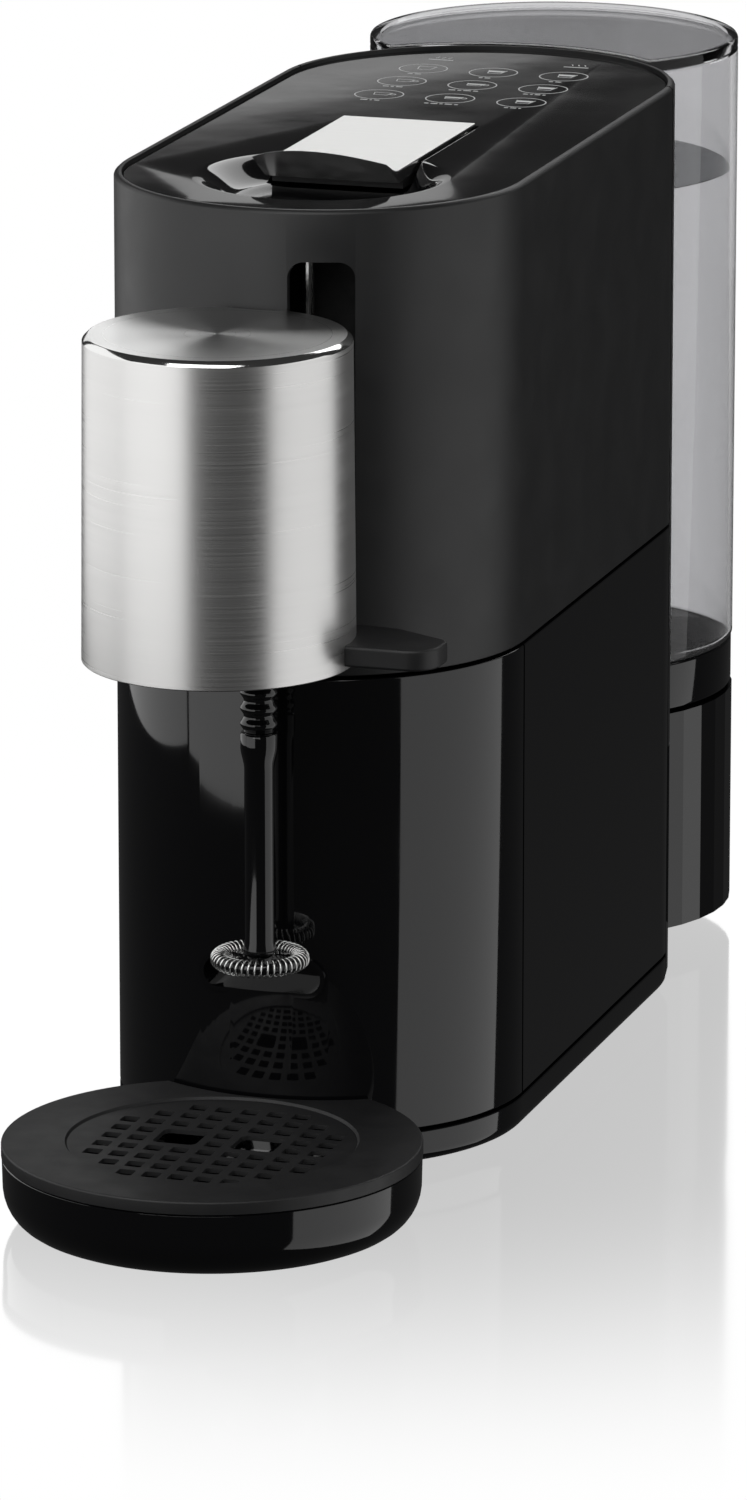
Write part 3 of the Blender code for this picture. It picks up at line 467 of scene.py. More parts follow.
drawer = body_shell(drawer_low.z, drawer_high.z, LOWER_EDGE)
trim(drawer, drawer_high.y)
drawer_face = piece("drawer_shell", drawer, GLOSS, "chassis", ["drawer_front"])
GRIP_HALF = 0.0192
GRIP_Z = (0.0609, 0.0707)
GRIP_DEPTH = 0.011
CUP_WALL = 0.0015  # of the cup behind the grip
face_y = front_y - BODY_R
whittle(drawer_face, pill(
    GRIP_HALF + CUP_WALL, GRIP_Z[0] - CUP_WALL, GRIP_Z[1] + CUP_WALL,
    face_y + 0.0008, face_y + GRIP_DEPTH + CUP_WALL, body_x,
), "UNION")
whittle(drawer_face, pill(GRIP_HALF, *GRIP_Z, face_y - 0.01, face_y + GRIP_DEPTH, body_x))

# --- upper housing and rear cover -------------------------------------------------------
# Satin graphite shells with a bright chamfered rim. The front one has a tall
# slot for the arm that carries the head, and the rear one closes the back.


def satin_graphite():
    """Finely textured satin ABS, so that its highlights are broad and soft."""
    look = plain_look("satin_graphite", (0.012, 0.0122, 0.0125), 0.42)
    vary_roughness(look, 60, 0.38, 0.46)
    add_bump(look, 4200, 0.00002, 0.6)
    return look


GRAPHITE = satin_graphite()
RIM_EDGE = 0.0013


def rimmed_shell(z0, z1):
    """A closed wall like the lower body's, with a chamfered rim."""
    return round_the_body((
        [(WALL, z0)] + quarter(LOWER_EDGE, z0 + LOWER_EDGE, LOWER_EDGE, 0, 3)
        + [(0, z1 - RIM_EDGE), (0.00012, z1 - RIM_EDGE * 0.75)]
        + [(RIM_EDGE * 0.8, z1 - 0.00012), (RIM_EDGE, z1)]
        + [(WALL - 0.0002, z1), (WALL, z1 - 0.0002)]
    ), closed=True)


upper = rimmed_shell(upper_low.z, upper_high.z)
trim(upper, upper_high.y)
upper_shell = piece("upper_shell", upper, GRAPHITE, "chassis", ["upper_housing"])
SLOT_X = (0.009, 0.029)
SLOT_FOOT_Z = 0.1799
SLOT_DROP = 0.0161  # of its top below the rim
SLOT_CORNER = 0.005
whittle(upper_shell, pill(
    (SLOT_X[1] - SLOT_X[0]) / 2, SLOT_FOOT_Z, rim_z - SLOT_DROP, face_y - 0.015, face_y + 0.015,
    body_x + sum(SLOT_X) / 2, SLOT_CORNER,
))
cover = rimmed_shell(cover_low.z, cover_high.z)
trim(cover, cover_low.y, keep_front=False)
piece("rear_shell", cover, GRAPHITE, "chassis", ["rear_cover"])

# --- top panel --------------------------------------------------------------------------
# One gloss black pane let in below the rim, with a round dish at the front that
# leaves room for fingers under the lever, and a pocket that the lever lies in.

panel_low, panel_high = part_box("top_panel")
panel_top = panel_high.z
PANEL_T = 0.003
DISH_Y = front_y - 0.003
DISH_R = 0.041
DISH_FLOOR_R = 0.026
DISH_DEPTH = 0.007
panel = round_the_body([
    (WALL + 0.0003, panel_top - PANEL_T), (WALL + 0.0003, panel_top - 0.0004), (WALL + 0.0007, panel_top),
])
pane = piece("touch_pane", panel, GLOSS, "chassis", ["top_panel"])


def lathe(centre, profile, steps=ARC_STEPS):
    """A turned solid about Z from (radius, height) points, both ends on the axis."""
    shape = bmesh.new()
    points = [shape.verts.new((centre[0] + radius, centre[1], z)) for radius, z in profile]
    edges = [shape.edges.new(pair) for pair in zip(points, points[1:])]
    bmesh.ops.spin(
        shape, geom=points + edges, cent=(*centre, 0), axis=(0, 0, 1), angle=2 * math.pi, steps=steps,
        use_merge=True,
    )
    bmesh.ops.remove_doubles(shape, verts=shape.verts, dist=1e-7)
    bmesh.ops.recalc_face_normals(shape, faces=shape.faces)
    return shape


def slab(low, high):
    """A plain block between two corners, for cutting with."""
    shape = bmesh.new()
    bmesh.ops.create_cube(shape, size=1)
    size = Vector(high) - Vector(low)
    bmesh.ops.scale(shape, verts=shape.verts, vec=size)
    bmesh.ops.translate(shape, verts=shape.verts, vec=(Vector(high) + Vector(low)) / 2)
    return shape


lever_low, lever_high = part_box("lever_plate")
arm_low, arm_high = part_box("capsule_lever")
LEVER_GAP = 0.0009
lever_half = (lever_high.x - lever_low.x) / 2
floor_z = panel_top - DISH_DEPTH
dish_curve = [
    (DISH_R - (DISH_R - DISH_FLOOR_R) * t, panel_top - DISH_DEPTH * (1 - math.cos(math.pi * t)) / 2)
    for t in (i / 14 for i in range(15))
]
whittle(pane, lathe((body_x, DISH_Y), [
    (0, panel_top - 0.0001), (DISH_R + 0.0018, panel_top - 0.0001), (DISH_R + 0.0018, floor_z - 0.0016),
    (0, floor_z - 0.0016),
]), "UNION")
pocket_low = Vector((body_x - lever_half - LEVER_GAP, arm_low.y - 0.001, arm_low.z - 0.0014))
pocket_high = Vector((body_x + lever_half + LEVER_GAP, lever_high.y + LEVER_GAP, panel_top + 0.01))
whittle(pane, slab(
    pocket_low - Vector((WALL, WALL, 0.0030)),
    (pocket_high.x + WALL, pocket_high.y + WALL, panel_top - 0.0014),
), "UNION")
whittle(pane, lathe((body_x, DISH_Y), (
    [(0, floor_z)] + dish_curve[::-1] + [(DISH_R + 0.0012, panel_top + 0.002), (0, panel_top + 0.002)]
)))


whittle(pane, slab(pocket_low, pocket_high))
CHUTE_HALF = 0.0205
CHUTE_Y = (front_y + 0.022, front_y + 0.052)
whittle(pane, slab(
    (body_x - CHUTE_HALF, CHUTE_Y[0], floor_z - 0.02), (body_x + CHUTE_HALF, CHUTE_Y[1], panel_top),
))

# --- touch symbols ----------------------------------------------------------------------
# Nine lit rings, each round a plain cup shape, with a short row of bars below it
# where a caption would be, printed in pale grey on the pane.


def printed_grey():
    """A pale ink that the lamps behind the pane light a little."""
    look = plain_look("printed_grey", (0.55, 0.56, 0.56), 0.5)
    vary_roughness(look, 900, 0.4, 0.6)
    look.node_tree.nodes["Principled BSDF"].inputs["Emission Color"].default_value = (0.8, 0.8, 0.8, 1)
    look.node_tree.nodes["Principled BSDF"].inputs["Emission Strength"].default_value = 0.12
    return look


INK_T = 0.00003
RING_R = 0.0080
RING_LINE = 0.00040
symbols = bmesh.new()


def ink_bar(x, y, width, depth, turn=0.0, lean=0.0):
    """A flat printed bar, leaning by a share of its depth."""
    bar = bmesh.ops.create_cube(symbols, size=1)["verts"]
    bmesh.ops.scale(symbols, verts=bar, vec=(width, depth, INK_T))
    for vert in bar:
        vert.co.x += vert.co.y * lean
    bmesh.ops.rotate(symbols, verts=bar, cent=(0, 0, 0), matrix=Matrix.Rotation(turn, 3, "Z"))
    bmesh.ops.translate(symbols, verts=bar, vec=(x, y, panel_top + INK_T))


def ink_ring(x, y, radius, line, steps=56):
    """A printed ring with a square section."""
    corners = [
        symbols.verts.new((x + radius + dx * line / 2, y, panel_top + INK_T + dz * INK_T / 2))
        for dx, dz in ((-1, -1), (1, -1), (1, 1), (-1, 1))
    ]
    edges = [symbols.edges.new((corners[i], corners[(i + 1) % 4])) for i in range(4)]
    bmesh.ops.spin(
        symbols, geom=corners + edges, cent=(x, y, 0), axis=(0, 0, 1), angle=2 * math.pi, steps=steps,
        use_merge=True,
    )


def ink_cup(x, y, width, filled, tall):
    """A plain cup shape: two leaning sides, a rim and a foot, a level when filled, an ear."""
    line = 0.00035
    depth = width * (0.85 if tall else 0.6)
    for side in (-1, 1):
        ink_bar(x + side * width * 0.42, y, line, depth, lean=side * 0.18)
    ink_bar(x, y - depth / 2, width * 0.74, line)
    if filled:
        ink_bar(x, y + depth * 0.16, width * 0.84, depth * 0.5)
    else:
        ink_bar(x, y + depth / 2, width * 0.98, line)
    if not tall:
        ink_ring(x + width * 0.6, y, width * 0.15, line, 16)


COLUMN = 0.0243
ROWS = (0.1340, 0.1589, 0.1828)
CAPTIONS = (
    ((2.6, 0.9, 2.0), (1.6, 2.4, 1.2, 2.6, 1.4), (1.5, 2.2, 1.0)),
    ((2.2, 1.1, 2.4), (2.4, 1.4, 2.8, 1.8), (1.8, 1.0, 2.0, 1.2)),
    ((1.9, 2.3), (1.4, 2.1), (1.6, 2.2)),
)
for row, above in enumerate(ROWS):
    for column in (-1, 0, 1):
        ring_x, ring_y = body_x + column * COLUMN, front_y + above
        ink_ring(ring_x, ring_y, RING_R, RING_LINE)
        ink_cup(ring_x + 0.0006, ring_y + 0.0012, 0.0062, column >= 0, column == 1 or row == 2)
        bars = CAPTIONS[row][column + 1]
        pen = ring_x - sum(bars) * 0.0005 - 0.0003 * (len(bars) - 1)
        for bar_width in bars:
            ink_bar(pen + bar_width * 0.0005, ring_y - 0.0101, bar_width * 0.001 - 0.0002, 0.0010)
            pen += bar_width * 0.001 + 0.0006
for side in (-1, 1):
    for step in range(3):
        ink_bar(
            body_x + side * 0.0235 + (step - 1) * 0.0022, front_y + 0.2036, 0.0004, 0.0022,
            math.radians(20 * side),
        )
    ink_bar(body_x + side * 0.0235, front_y + 0.2000, 0.0085, 0.0009)
bmesh.ops.recalc_face_normals(symbols, faces=symbols.faces)
for_pane.objects.link(pane)
for_walls.objects.link(pane)
for_walls.collection_objects[-1].light_linking.link_state = "EXCLUDE"
piece("touch_symbols", symbols, printed_grey(), "chassis")

# --- capsule lever ----------------------------------------------------------------------
# A steel plate brushed across on top, whose front turns up into a round-ended
# tongue. The tongue's underside and flanks are polished bright.


def brushed_steel(name, stretch, roughness=(0.26, 0.36), bump=0.000012, colour=(0.78, 0.775, 0.765)):
    """Stainless steel with a fine satin grain that runs where the stretch is small."""
    look = plain_look(name, colour, 0.3, 1.0)
    vary_roughness(look, 1, *roughness, stretch=stretch)
    add_bump(look, 1, bump, 0.7, stretch=stretch)
    return look


def polished_steel():
    """Bright stainless steel with only a faint polishing haze."""
    look = plain_look("polished_steel", (0.86, 0.86, 0.85), 0.1, 1.0)
    vary_roughness(look, 140, 0.07, 0.13)
    return look


SATIN_LIP = plain_look("satin_lip", (0.90, 0.90, 0.895), 0.2, 1.0)
vary_roughness(SATIN_LIP, 120, 0.17, 0.24)
PLATE_TOP = brushed_steel("plate_steel", (30, 2600, 2600), (0.36, 0.46), 0.000008, (0.62, 0.62, 0.61))
POLISHED = polished_steel()
TONGUE_START_Y = front_y + 0.0039
tip_y, tip_z = lever_low.y, lever_high.z
heel_y, heel_z = front_y + 0.0071, lever_low.z
TONGUE_FRONT_R = 0.060
TONGUE_LEAN = 1.58
UNDER_RISE = 0.466
rise = (tip_z - rim_z) / (TONGUE_START_Y - tip_y)
bend = math.atan(rise)
BEND_R = 0.020
reach = BEND_R * math.tan(bend / 2)
lever_shape = bmesh.new()
past = tip_y - 0.008
outline = (
    [(lever_high.y, rim_z)]
    + [
        (TONGUE_START_Y + reach - BEND_R * math.sin(bend * i / 12),
         rim_z + BEND_R * (1 - math.cos(bend * i / 12)))
        for i in range(13)
    ]
    + [
        (past, rim_z + rise * (TONGUE_START_Y - past)),
        (past, heel_z + UNDER_RISE * (heel_y - past)),
        (heel_y, heel_z),
        (lever_high.y, rim_z - 0.0012),
    ]
)
side_points = [lever_shape.verts.new((body_x - lever_half, y, z)) for y, z in outline]
side_face = lever_shape.faces.new(side_points)
pushed = bmesh.ops.extrude_face_region(lever_shape, geom=[side_face])
bmesh.ops.translate(
    lever_shape, verts=[v for v in pushed["geom"] if isinstance(v, bmesh.types.BMVert)],
    vec=(2 * lever_half, 0, 0),
)
bmesh.ops.recalc_face_normals(lever_shape, faces=lever_shape.faces)
lever = piece("lever_tongue", lever_shape, PLATE_TOP, "lever", ["lever_plate"])


def tongue_ring(shape, inset, z):
    """The lever's outline from above at one height: straight flanks and a round front that leans."""
    centre_y = tip_y + TONGUE_FRONT_R + TONGUE_LEAN * (tip_z - z)
    half = lever_half - 0.00001
    spread = math.degrees(math.asin(half / TONGUE_FRONT_R))
    start = math.radians(270 - spread)
    first = shape.verts.new((
        body_x + TONGUE_FRONT_R * math.cos(start), centre_y + TONGUE_FRONT_R * math.sin(start), z,
    ))
    right = spun(shape, first, (body_x, centre_y), 2 * spread, 40)
    back = bmesh.ops.extrude_vert_indiv(shape, verts=[right])["verts"][0]
    back.co.y = lever_high.y - 0.00001
    far = bmesh.ops.extrude_vert_indiv(shape, verts=[back])["verts"][0]
    far.co.x = body_x - half
    bmesh.ops.contextual_create(shape, geom=[far, first])


whittle(lever, skin(tongue_ring, [(0, rim_z - 0.012), (0, rim_z + 0.020)]), "INTERSECT")
lever.data.materials.append(SATIN_LIP)
for_tops.objects.link(lever)
for_lip.objects.link(lever)
for face in lever.data.polygons:
    face.material_index = 0 if face.normal.z > 0.9 and face.center.z > rim_z - 0.0005 else 1
soften = lever.modifiers.new("soft_edges", "BEVEL")
soften.width = 0.0009
soften.segments = 4
soften.limit_method = "ANGLE"
soften.angle_limit = math.radians(34)
soften.harden_normals = True

# --- head shell -------------------------------------------------------------------------
# A deep-drawn stainless cup, upside down: its side is brushed round, its top is
# spun so that it shines in a bow, and a bright chamfer is turned between them.

head_low, head_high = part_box("head_shell")
HEAD_R = (head_high.x - head_low.x) / 2
head_centre = (body_x, head_low.y + HEAD_R)
HEAD_TAPER = 0.0009
HEAD_CHAMFER = 0.0018
HEAD_GAP = 0.001


def bitten_ring(shape, centre, radius, bite_centre, bite_radius, z, steps=ARC_STEPS):
    """A round outline with a second round taken out of one side, both about the body's midline."""
    toward = 1 if bite_centre[1] > centre[1] else -1
    apart = abs(bite_centre[1] - centre[1])
    along = (apart**2 + radius**2 - bite_radius**2) / (2 * apart)
    half = math.sqrt(radius**2 - along**2)
    sweep = 360 - 2 * math.degrees(math.atan2(half, along))
    back = 2 * math.degrees(math.atan2(half, apart - along))
    first = shape.verts.new((centre[0] - toward * half, centre[1] + toward * along, z))
    last = spun(shape, first, centre, sweep, steps)
    end = spun(shape, last, bite_centre, -back, steps // 3)
    bmesh.ops.weld_verts(shape, targetmap={end: first})


def head_ring(shape, inset, z):
    """The head's outline at one inset and height, cut off in front of the body."""
    taper = HEAD_TAPER * (z - head_low.z) / (head_high.z - head_low.z)
    bitten_ring(
        shape, head_centre, HEAD_R - inset - taper, (body_x, front_y), BODY_R + HEAD_GAP + inset, z,
    )


HEAD_WALL = 0.0015
head = skin(head_ring, (
    [(HEAD_WALL, head_high.z - HEAD_CHAMFER - 0.0005), (HEAD_WALL, head_low.z + 0.0002)]
    + [(HEAD_WALL - 0.0003, head_low.z), (0.0003, head_low.z), (0, head_low.z + 0.0003)]
    + [(0, head_high.z - HEAD_CHAMFER), (0.00015, head_high.z - HEAD_CHAMFER + 0.0003)]
    + [(HEAD_CHAMFER - 0.0003, head_high.z - 0.00015), (HEAD_CHAMFER, head_high.z)]
), closed=False)
HEAD_SIDE = brushed_steel("head_side_steel", (9, 9, 2400), (0.27, 0.37))


def spun_steel(name, centre):
    """Steel turned on a lathe: rings round its middle, and a grain that follows them."""
    look = plain_look(name, (0.66, 0.66, 0.655), 0.3, 1.0)
    tree = look.node_tree
    own = tree.nodes["Principled BSDF"]
    own.inputs["Anisotropic"].default_value = 0.85
    place = tree.nodes.new("ShaderNodeTexCoord")
    shift = tree.nodes.new("ShaderNodeMapping")
    shift.inputs["Location"].default_value = (-centre[0], -centre[1], 0)
    flat = tree.nodes.new("ShaderNodeVectorMath")
    flat.operation = "MULTIPLY"
    flat.inputs[1].default_value = (1, 1, 0)
    around = tree.nodes.new("ShaderNodeVectorMath")
    around.operation = "CROSS_PRODUCT"
    around.inputs[0].default_value = (0, 0, 1)
    unit = tree.nodes.new("ShaderNodeVectorMath")
    unit.operation = "NORMALIZE"
    length = tree.nodes.new("ShaderNodeVectorMath")
    length.operation = "LENGTH"
    rings = tree.nodes.new("ShaderNodeTexNoise")
    rings.noise_dimensions = "1D"
    rings.inputs["Scale"].default_value = 2600
    span = tree.nodes.new("ShaderNodeMapRange")
    span.inputs["To Min"].default_value = 0.24
    span.inputs["To Max"].default_value = 0.38
    bump = tree.nodes.new("ShaderNodeBump")
    bump.inputs["Strength"].default_value = 0.5
    bump.inputs["Distance"].default_value = 0.000006
    link(tree, place.outputs["Object"], shift.inputs["Vector"])
    link(tree, shift.outputs["Vector"], flat.inputs[0])
    link(tree, flat.outputs[0], around.inputs[1])
    link(tree, around.outputs[0], unit.inputs[0])
    link(tree, unit.outputs[0], own.inputs["Tangent"])
    link(tree, flat.outputs[0], length.inputs[0])
    link(tree, length.outputs["Value"], rings.inputs["W"])
    link(tree, rings.outputs["Fac"], span.inputs["Value"])
    link(tree, span.outputs["Result"], own.inputs["Roughness"])
    link(tree, rings.outputs["Fac"], bump.inputs["Height"])
    link(tree, bump.outputs["Normal"], own.inputs["Normal"])
    return look


HEAD_TOP = spun_steel("head_top_steel", head_centre)
head_shell = piece("head_cup", head, HEAD_SIDE, "head", ["head_shell"], sharp=25)
head_shell.data.materials.append(HEAD_TOP)
head_shell.data.materials.append(POLISHED)
for_tops.objects.link(head_shell)
for face in head_shell.data.polygons:
    if face.normal.z > 0.9:
        face.material_index = 1
    elif face.normal.z > 0.3:
        face.material_index = 2

# --- thumb lever ------------------------------------------------------------------------
# A matte black grip on the head's right side, with which the head is pushed up.
# It is a solid moulding with softly rounded edges.


def matte_black():
    """Spark-eroded matte moulding: a close grain that scatters the light."""
    look = plain_look("matte_black", (0.009, 0.009, 0.0095), 0.5)
    vary_roughness(look, 80, 0.44, 0.56)
    add_bump(look, 3200, 0.00004, 0.7)
    return look


MATTE = matte_black()
thumb_low, thumb_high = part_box("thumb_lever")


def remade(node_name):
    """A bmesh of a CAD node's own shape, with its loose triangles joined and its flats merged."""
    shape = bmesh.new()
    shape.from_mesh(nodes[node_name].data)
    bmesh.ops.remove_doubles(shape, verts=shape.verts, dist=1e-6)
    bmesh.ops.dissolve_limit(
        shape, angle_limit=math.radians(1), verts=shape.verts, edges=shape.edges,
    )
    return shape


def rounded_piece(name, node_name, look, body, width, segments=3):
    """A node's own shape with its sharp edges rounded."""
    made = piece(name, remade(node_name), look, body, [node_name])
    soft = made.modifiers.new("soft_edges", "BEVEL")
    soft.width = width
    soft.segments = segments
    soft.limit_method = "ANGLE"
    soft.angle_limit = math.radians(40)
    soft.harden_normals = True
    return made


rounded_piece("thumb_grip", "thumb_lever", MATTE, "head", 0.0010, 4)

# --- whisk ------------------------------------------------------------------------------
# A gloss black shaft with a ribbed grip at the top that clicks into the head,
# and at its foot a ring on three spokes, wound all round with sprung steel wire.

shaft_low, shaft_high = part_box("whisk_shaft")
collar_low, collar_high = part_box("whisk_collar")
ring_low, ring_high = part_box("whisk_ring")
whisk = ((shaft_low.x + shaft_high.x) / 2, (shaft_low.y + shaft_high.y) / 2)
SHAFT_R = 0.0047
COLLAR_R = (collar_high.x - collar_low.x) / 2
COIL_R = (ring_high.z - ring_low.z) / 2
RING_MID_R = (ring_high.x - ring_low.x) / 2 - COIL_R
ring_z = (ring_high.z + ring_low.z) / 2
RIBS = 7
collar_profile = [(0, collar_low.z)]
rib = (collar_high.z - collar_low.z) / RIBS
for index in range(RIBS):
    for step in range(8):
        swell = (1 - math.cos(2 * math.pi * step / 8)) / 2
        collar_profile.append((COLLAR_R - 0.0012 * (1 - swell), collar_low.z + (index + step / 8) * rib))
collar_profile += [(COLLAR_R - 0.0012, collar_high.z), (0, collar_high.z)]
piece("whisk_grip", lathe(whisk, collar_profile, 48), GLOSS, "whisk", ["whisk_collar"], 60)
neck = [
    (SHAFT_R + 0.0012 * (1 + math.cos(math.pi * t)) / 2, shaft_high.z - 0.0045 - 0.0075 * t)
    for t in (i / 10 for i in range(11))
]
piece("whisk_stem", lathe(whisk, (
    [(0, shaft_low.z), (0.0036, shaft_low.z), (SHAFT_R + 0.0006, shaft_low.z + 0.0012)]
    + [(SHAFT_R + 0.0006, shaft_low.z + 0.0022), (SHAFT_R, shaft_low.z + 0.0045)]
    + neck[::-1] + [(SHAFT_R + 0.0012, shaft_high.z - 0.0006), (SHAFT_R + 0.0008, shaft_high.z)]
    + [(0, shaft_high.z)]
), 64), GLOSS, "whisk", ["whisk_shaft"], 60)


def hoop(centre, z, radius, thickness, steps=72, sides=14):
    """A plain round ring of round section."""
    shape = bmesh.new()
    section = bmesh.ops.create_circle(shape, segments=sides, radius=thickness)["verts"]
    bmesh.ops.rotate(shape, verts=section, cent=(0, 0, 0), matrix=Matrix.Rotation(math.pi / 2, 3, "X"))
    bmesh.ops.translate(shape, verts=section, vec=(centre[0] + radius, centre[1], z))
    bmesh.ops.spin(
        shape, geom=shape.verts[:] + shape.edges[:], cent=(*centre, z), axis=(0, 0, 1), angle=2 * math.pi,
        steps=steps, use_merge=True,
    )
    bmesh.ops.recalc_face_normals(shape, faces=shape.faces)
    return shape


core = hoop(whisk, ring_z, RING_MID_R, COIL_R * 0.62)
for spoke in range(3):
    turn = Matrix.Rotation(math.radians(40 + 120 * spoke), 3, "Z")
    bar = bmesh.ops.create_cube(core, size=1)["verts"]
    bmesh.ops.scale(core, verts=bar, vec=(RING_MID_R, 0.0016, 0.0012))
    bmesh.ops.translate(core, verts=bar, vec=(RING_MID_R / 2, 0, 0))
    bmesh.ops.rotate(core, verts=bar, cent=(0, 0, 0), matrix=turn)
    bmesh.ops.translate(core, verts=bar, vec=(*whisk, ring_z))
hub = bmesh.ops.create_cone(
    core, cap_ends=True, segments=32, radius1=0.0040, radius2=0.0040, depth=0.0026,
)["verts"]
bmesh.ops.translate(core, verts=hub, vec=(*whisk, ring_z))
piece("whisk_carrier", core, GLOSS, "whisk")


def drawn_wire():
    """Bright spring wire, a little streaked from the die."""
    look = plain_look("drawn_wire", (0.82, 0.82, 0.81), 0.18, 1.0)
    vary_roughness(look, 600, 0.12, 0.24)
    return look


TURNS = 46
POINTS_PER_TURN = 16
WIRE_R = 0.00026
coil = bpy.data.curves.new("whisk_coil", "CURVE")
coil.dimensions = "3D"
coil.bevel_depth = WIRE_R
coil.bevel_resolution = 2
wire = coil.splines.new("POLY")
wire.points.add(TURNS * POINTS_PER_TURN - 1)
wire.use_cyclic_u = True
for index, point in enumerate(wire.points):
    wound = 2 * math.pi * index / POINTS_PER_TURN
    around = wound / TURNS
    spread = RING_MID_R + (COIL_R - WIRE_R) * math.cos(wound)
    point.co = (
        whisk[0] + spread * math.cos(around), whisk[1] + spread * math.sin(around),
        ring_z + (COIL_R - WIRE_R) * math.sin(wound), 1,
    )
coil.materials.append(drawn_wire())
coil_piece = bpy.data.objects.new("whisk_coil", coil)
bpy.context.scene.collection.objects.link(coil_piece)
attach(coil_piece, "whisk")
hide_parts("whisk_ring")
nodes_dressed.add("whisk_ring")

# --- drip tray and grid -----------------------------------------------------------------
# A round gloss black bowl with a bite taken out for the body, and a matte grid
# that drops into it: a sunk round field of square holes, two of them large.

tray_low, tray_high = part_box("drip_tray")
grid_low, grid_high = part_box("drip_grid")
TRAY_R = (grid_high.x - grid_low.x) / 2
tray_centre = ((grid_low.x + grid_high.x) / 2, grid_low.y + TRAY_R)


def tray_ring(shape, inset, z):
    """The tray's outline at one inset and height, cut off in front of the body."""
    bitten_ring(shape, tray_centre, TRAY_R - inset, (body_x, front_y), BODY_R + 0.001 + inset, z)


BOWL_EDGE = 0.0105
bowl_side = [
    (0.0004 + BOWL_EDGE * (1 - math.sin(math.radians(a))),
     tray_low.z + (BOWL_EDGE + 0.002) * (1 - math.cos(math.radians(a))))
    for a in (15, 25, 35, 45, 55, 65, 75, 84, 90)
]
tray = skin(tray_ring, (
    [(0.0135, tray_low.z + 0.0024), (0.0130, tray_low.z)] + bowl_side
    + [(0.0002, tray_high.z - 0.0004), (0.0006, tray_high.z)]
    + [(0.0023, tray_high.z), (0.0025, tray_high.z - 0.0004)]
    + [(0.0030, tray_low.z + 0.0095), (0.0060, tray_low.z + 0.0050)]
), closed=True)
bowl_floor = skin(tray_ring, [(0.0120, tray_low.z + 0.0004), (0.0120, tray_low.z + 0.0022)])
tray_bowl = piece("tray_bowl", tray, GLOSS, "tray", ["drip_tray"])
whittle(tray_bowl, bowl_floor, "UNION")

GRID_EDGE = 0.0007
grid = skin(tray_ring, (
    [(0, grid_low.z)] + quarter(GRID_EDGE, grid_high.z - GRID_EDGE, GRID_EDGE, 90, 4)
))
drip_plate = piece("drip_plate", grid, MATTE, "grid", ["drip_grid"])
whittle(drip_plate, skin(tray_ring, [(0.0035, grid_low.z - 0.001), (0.0035, grid_high.z - 0.0022)]))
FIELD_R = 0.0450
FIELD_SINK = 0.0008
FIELD_SHIFT = (0.0015, -0.0025)
PITCH = (0.0084, 0.0089)
SLIT = 0.0050
CUP_HOLE = (0.0136, 0.0140)
whittle(drip_plate, lathe((tray_centre[0], tray_centre[1]), [
    (0, grid_high.z - FIELD_SINK), (FIELD_R, grid_high.z - FIELD_SINK),
    (FIELD_R + 0.0008, grid_high.z + 0.0002), (FIELD_R + 0.0008, grid_high.z + 0.002),
    (0, grid_high.z + 0.002),
]))
holes = bmesh.new()


def hole(column, row, size):
    """Adds a tapering square cutter through the grid, wider at the top, with round corners."""
    block = bmesh.ops.create_cube(holes, size=1)["verts"]
    deep = 0.012
    bmesh.ops.scale(holes, verts=block, vec=(*size, deep))
    for vert in block:
        if vert.co.z > 0:
            vert.co.x *= 1 + 0.0010 / size[0]
            vert.co.y *= 1 + 0.0010 / size[1]
    bmesh.ops.translate(holes, verts=block, vec=(
        tray_centre[0] + FIELD_SHIFT[0] + column * PITCH[0],
        tray_centre[1] + FIELD_SHIFT[1] + row * PITCH[1],
        grid_high.z - FIELD_SINK,
    ))
    uprights = [
        e for v in block for e in v.link_edges if abs(e.verts[0].co.z - e.verts[1].co.z) > deep / 2
    ]
    bmesh.ops.bevel(
        holes, geom=list(set(uprights)), offset=min(size) * 0.16, affect="EDGES", segments=3, profile=0.5,
        material=-1,
    )


for row in range(-4, 5):
    for column in range(-4, 5):
        under_cup = row in (0, 1) and abs(column) in (1, 2)
        if abs(row) + abs(column) <= 6 and not under_cup:
            hole(column, row, (SLIT, SLIT))
for column in (-1.5, 1.5):
    hole(column, 0.5, CUP_HOLE)
bmesh.ops.recalc_face_normals(holes, faces=holes.faces)
whittle(drip_plate, holes)

# --- water tank, its foot and lid -------------------------------------------------------
# The tank is a clear smoked crescent that hugs the round back of the body. It
# stands on a gloss black foot. A thin sheet across it is the surface of the water.

tank_low, tank_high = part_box("water_tank")
foot_low, foot_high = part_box("tank_foot")
lid_low, lid_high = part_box("tank_lid")
TANK_R = (tank_high.x - tank_low.x) / 2
tank_centre = (body_x, tank_high.y - TANK_R)
TANK_GAP = 0.0015
TANK_WALL = 0.0025


def tank_ring(shape, inset, z):
    """The tank's outline at one inset and height, cut off behind the body."""
    bitten_ring(shape, tank_centre, TANK_R - inset, (body_x, rear_y), BODY_R + TANK_GAP + inset, z)


def smoked_clear(name, tint, roughness=0.03):
    """Grey-tinted clear polymer that darkens towards its edges."""
    look = plain_look(name, tint, roughness)
    own = look.node_tree.nodes["Principled BSDF"]
    own.inputs["Transmission Weight"].default_value = 1.0
    own.inputs["IOR"].default_value = 1.12
    own.inputs["Coat Weight"].default_value = 0.5
    own.inputs["Coat Roughness"].default_value = 0.03
    vary_roughness(look, 25, roughness * 0.6, roughness * 1.5)
    return look


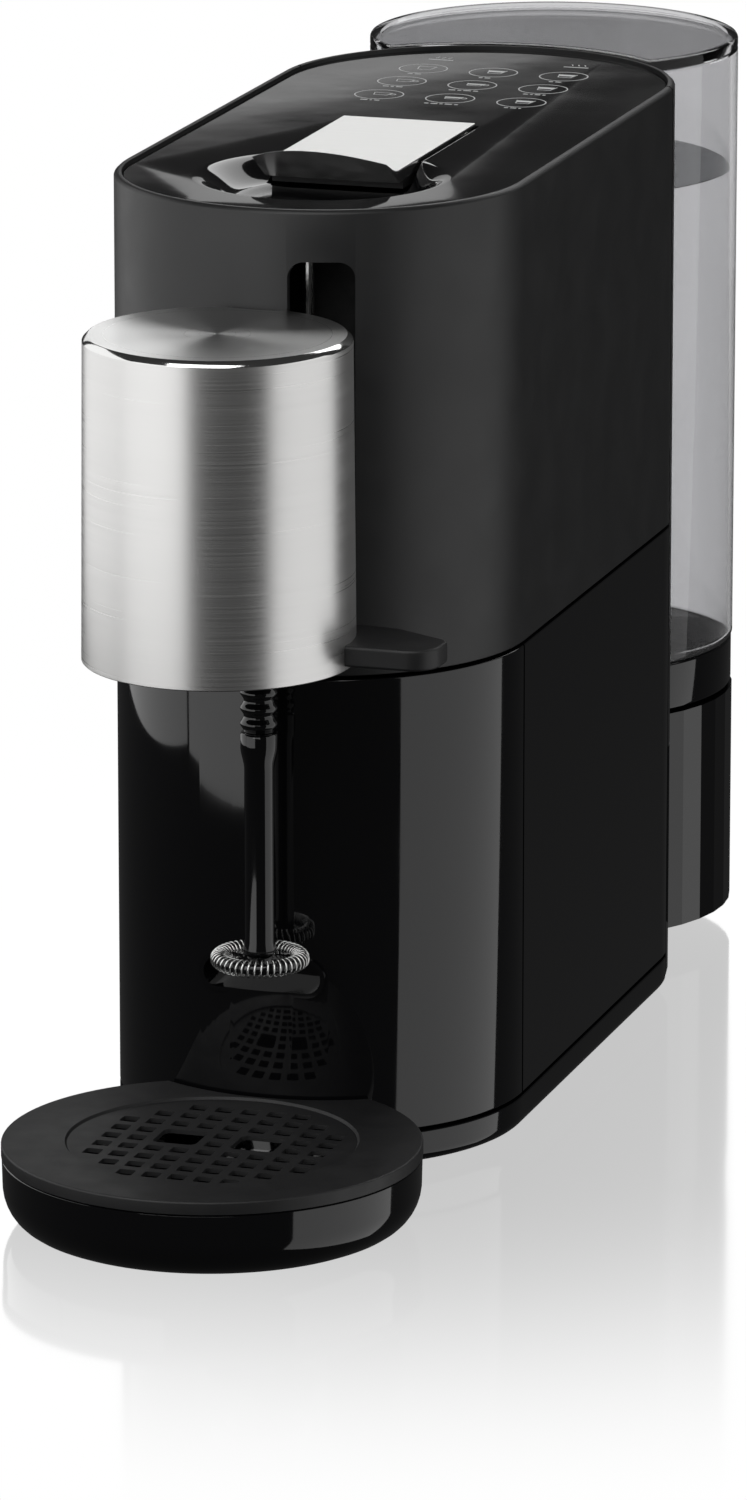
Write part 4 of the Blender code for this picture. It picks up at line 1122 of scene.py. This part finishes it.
SMOKE = smoked_clear("smoked_clear", (0.62, 0.62, 0.63))
tank = skin(tank_ring, [
    (TANK_WALL, tank_low.z + TANK_WALL), (TANK_WALL, tank_high.z - 0.0004),
    (TANK_WALL - 0.0004, tank_high.z), (0.0004, tank_high.z), (0, tank_high.z - 0.0004),
    (0, tank_low.z + 0.0012), (0.0006, tank_low.z + 0.0002), (0.0014, tank_low.z),
])
piece("clear_tank", tank, SMOKE, "tank", ["water_tank"])
WATER_Z = 0.266
water = skin(tank_ring, [(TANK_WALL + 0.0001, WATER_Z - 0.0004), (TANK_WALL + 0.0001, WATER_Z)])
piece("water_level", water, smoked_clear("water_top", (0.45, 0.46, 0.47), 0.02), "tank")
lid = skin(tank_ring, [
    (0.0006, lid_low.z), (0, lid_low.z + 0.0006), (0, lid_high.z - 0.0010), (0.0003, lid_high.z - 0.0003),
    (0.0010, lid_high.z), (0.0035, lid_high.z), (0.0041, lid_high.z - 0.0007),
    (0.0110, lid_high.z - 0.0009),
])
piece("clear_lid", lid, SMOKE, "lid", ["tank_lid"])
foot = skin(tank_ring, [
    (0.0012, foot_low.z), (0.0006, foot_low.z + 0.0005), (0.0004, foot_low.z + 0.0012),
    (0.0004, foot_high.z - 0.0006), (0.0010, foot_high.z),
])
piece("tank_base", foot, GLOSS, "tank", ["tank_foot"])

# --- pieces that keep their own shape ---------------------------------------------------
# Everything inside the machine, its rubber feet and the small fittings: each
# keeps its shape and gets the finish of what it is made of, except three inner
# parts seen through the arm's slot, which get black rubber as painted shade.


def cast_metal():
    """Aluminium as it leaves the die, grainy and dull."""
    look = plain_look("cast_metal", (0.42, 0.42, 0.43), 0.45, 1.0)
    vary_roughness(look, 300, 0.36, 0.56)
    add_bump(look, 1800, 0.00004, 0.6)
    return look


def dark_moulding():
    """Plain dark engineering plastic."""
    look = plain_look("dark_moulding", (0.022, 0.022, 0.024), 0.5)
    vary_roughness(look, 120, 0.42, 0.58)
    return look


def rubber_and_painted_shade():
    """Black rubber with a dusty sheen, also given to three inner parts as painted shade."""
    look = plain_look("rubber_and_painted_shade", (0.012, 0.012, 0.012), 0.75)
    vary_roughness(look, 200, 0.66, 0.84)
    add_bump(look, 900, 0.00005, 0.5)
    return look


def solder_mask():
    """The green lacquer of a circuit board."""
    look = plain_look("solder_mask", (0.012, 0.09, 0.035), 0.35)
    vary_roughness(look, 500, 0.28, 0.5)
    return look


def milky_hose():
    """Translucent silicone hose, seen as a milky grey."""
    look = plain_look("milky_hose", (0.62, 0.62, 0.6), 0.35)
    vary_roughness(look, 150, 0.28, 0.42)
    return look


LOOKS = {
    "gloss_black": GLOSS,
    "matte_black": MATTE,
    "satin_graphite": GRAPHITE,
    "brushed_steel": POLISHED,
    "steel_wire": drawn_wire(),
    "grey_moulding": dark_moulding(),
    "rubber": rubber_and_painted_shade(),
    "cast_aluminium": cast_metal(),
    "circuit_board": solder_mask(),
    "silicone_hose": milky_hose(),
    "smoked_clear": SMOKE,
}
# painted shade: these inner parts get black rubber instead of their own finish, to stand for the shade in
# the slot they are seen through
PAINTED_SHADE_PARTS = {"lift_bracket", "head_carriage", "brew_frame"}  # kept dark, like the slot they are seen through
for part in frame["record"]["subparts"]:
    if part["node"] not in nodes_dressed:
        own = nodes[part["node"]].data
        own.materials.clear()
        own.materials.append(LOOKS["rubber" if part["node"] in PAINTED_SHADE_PARTS else part["material_slot"]])
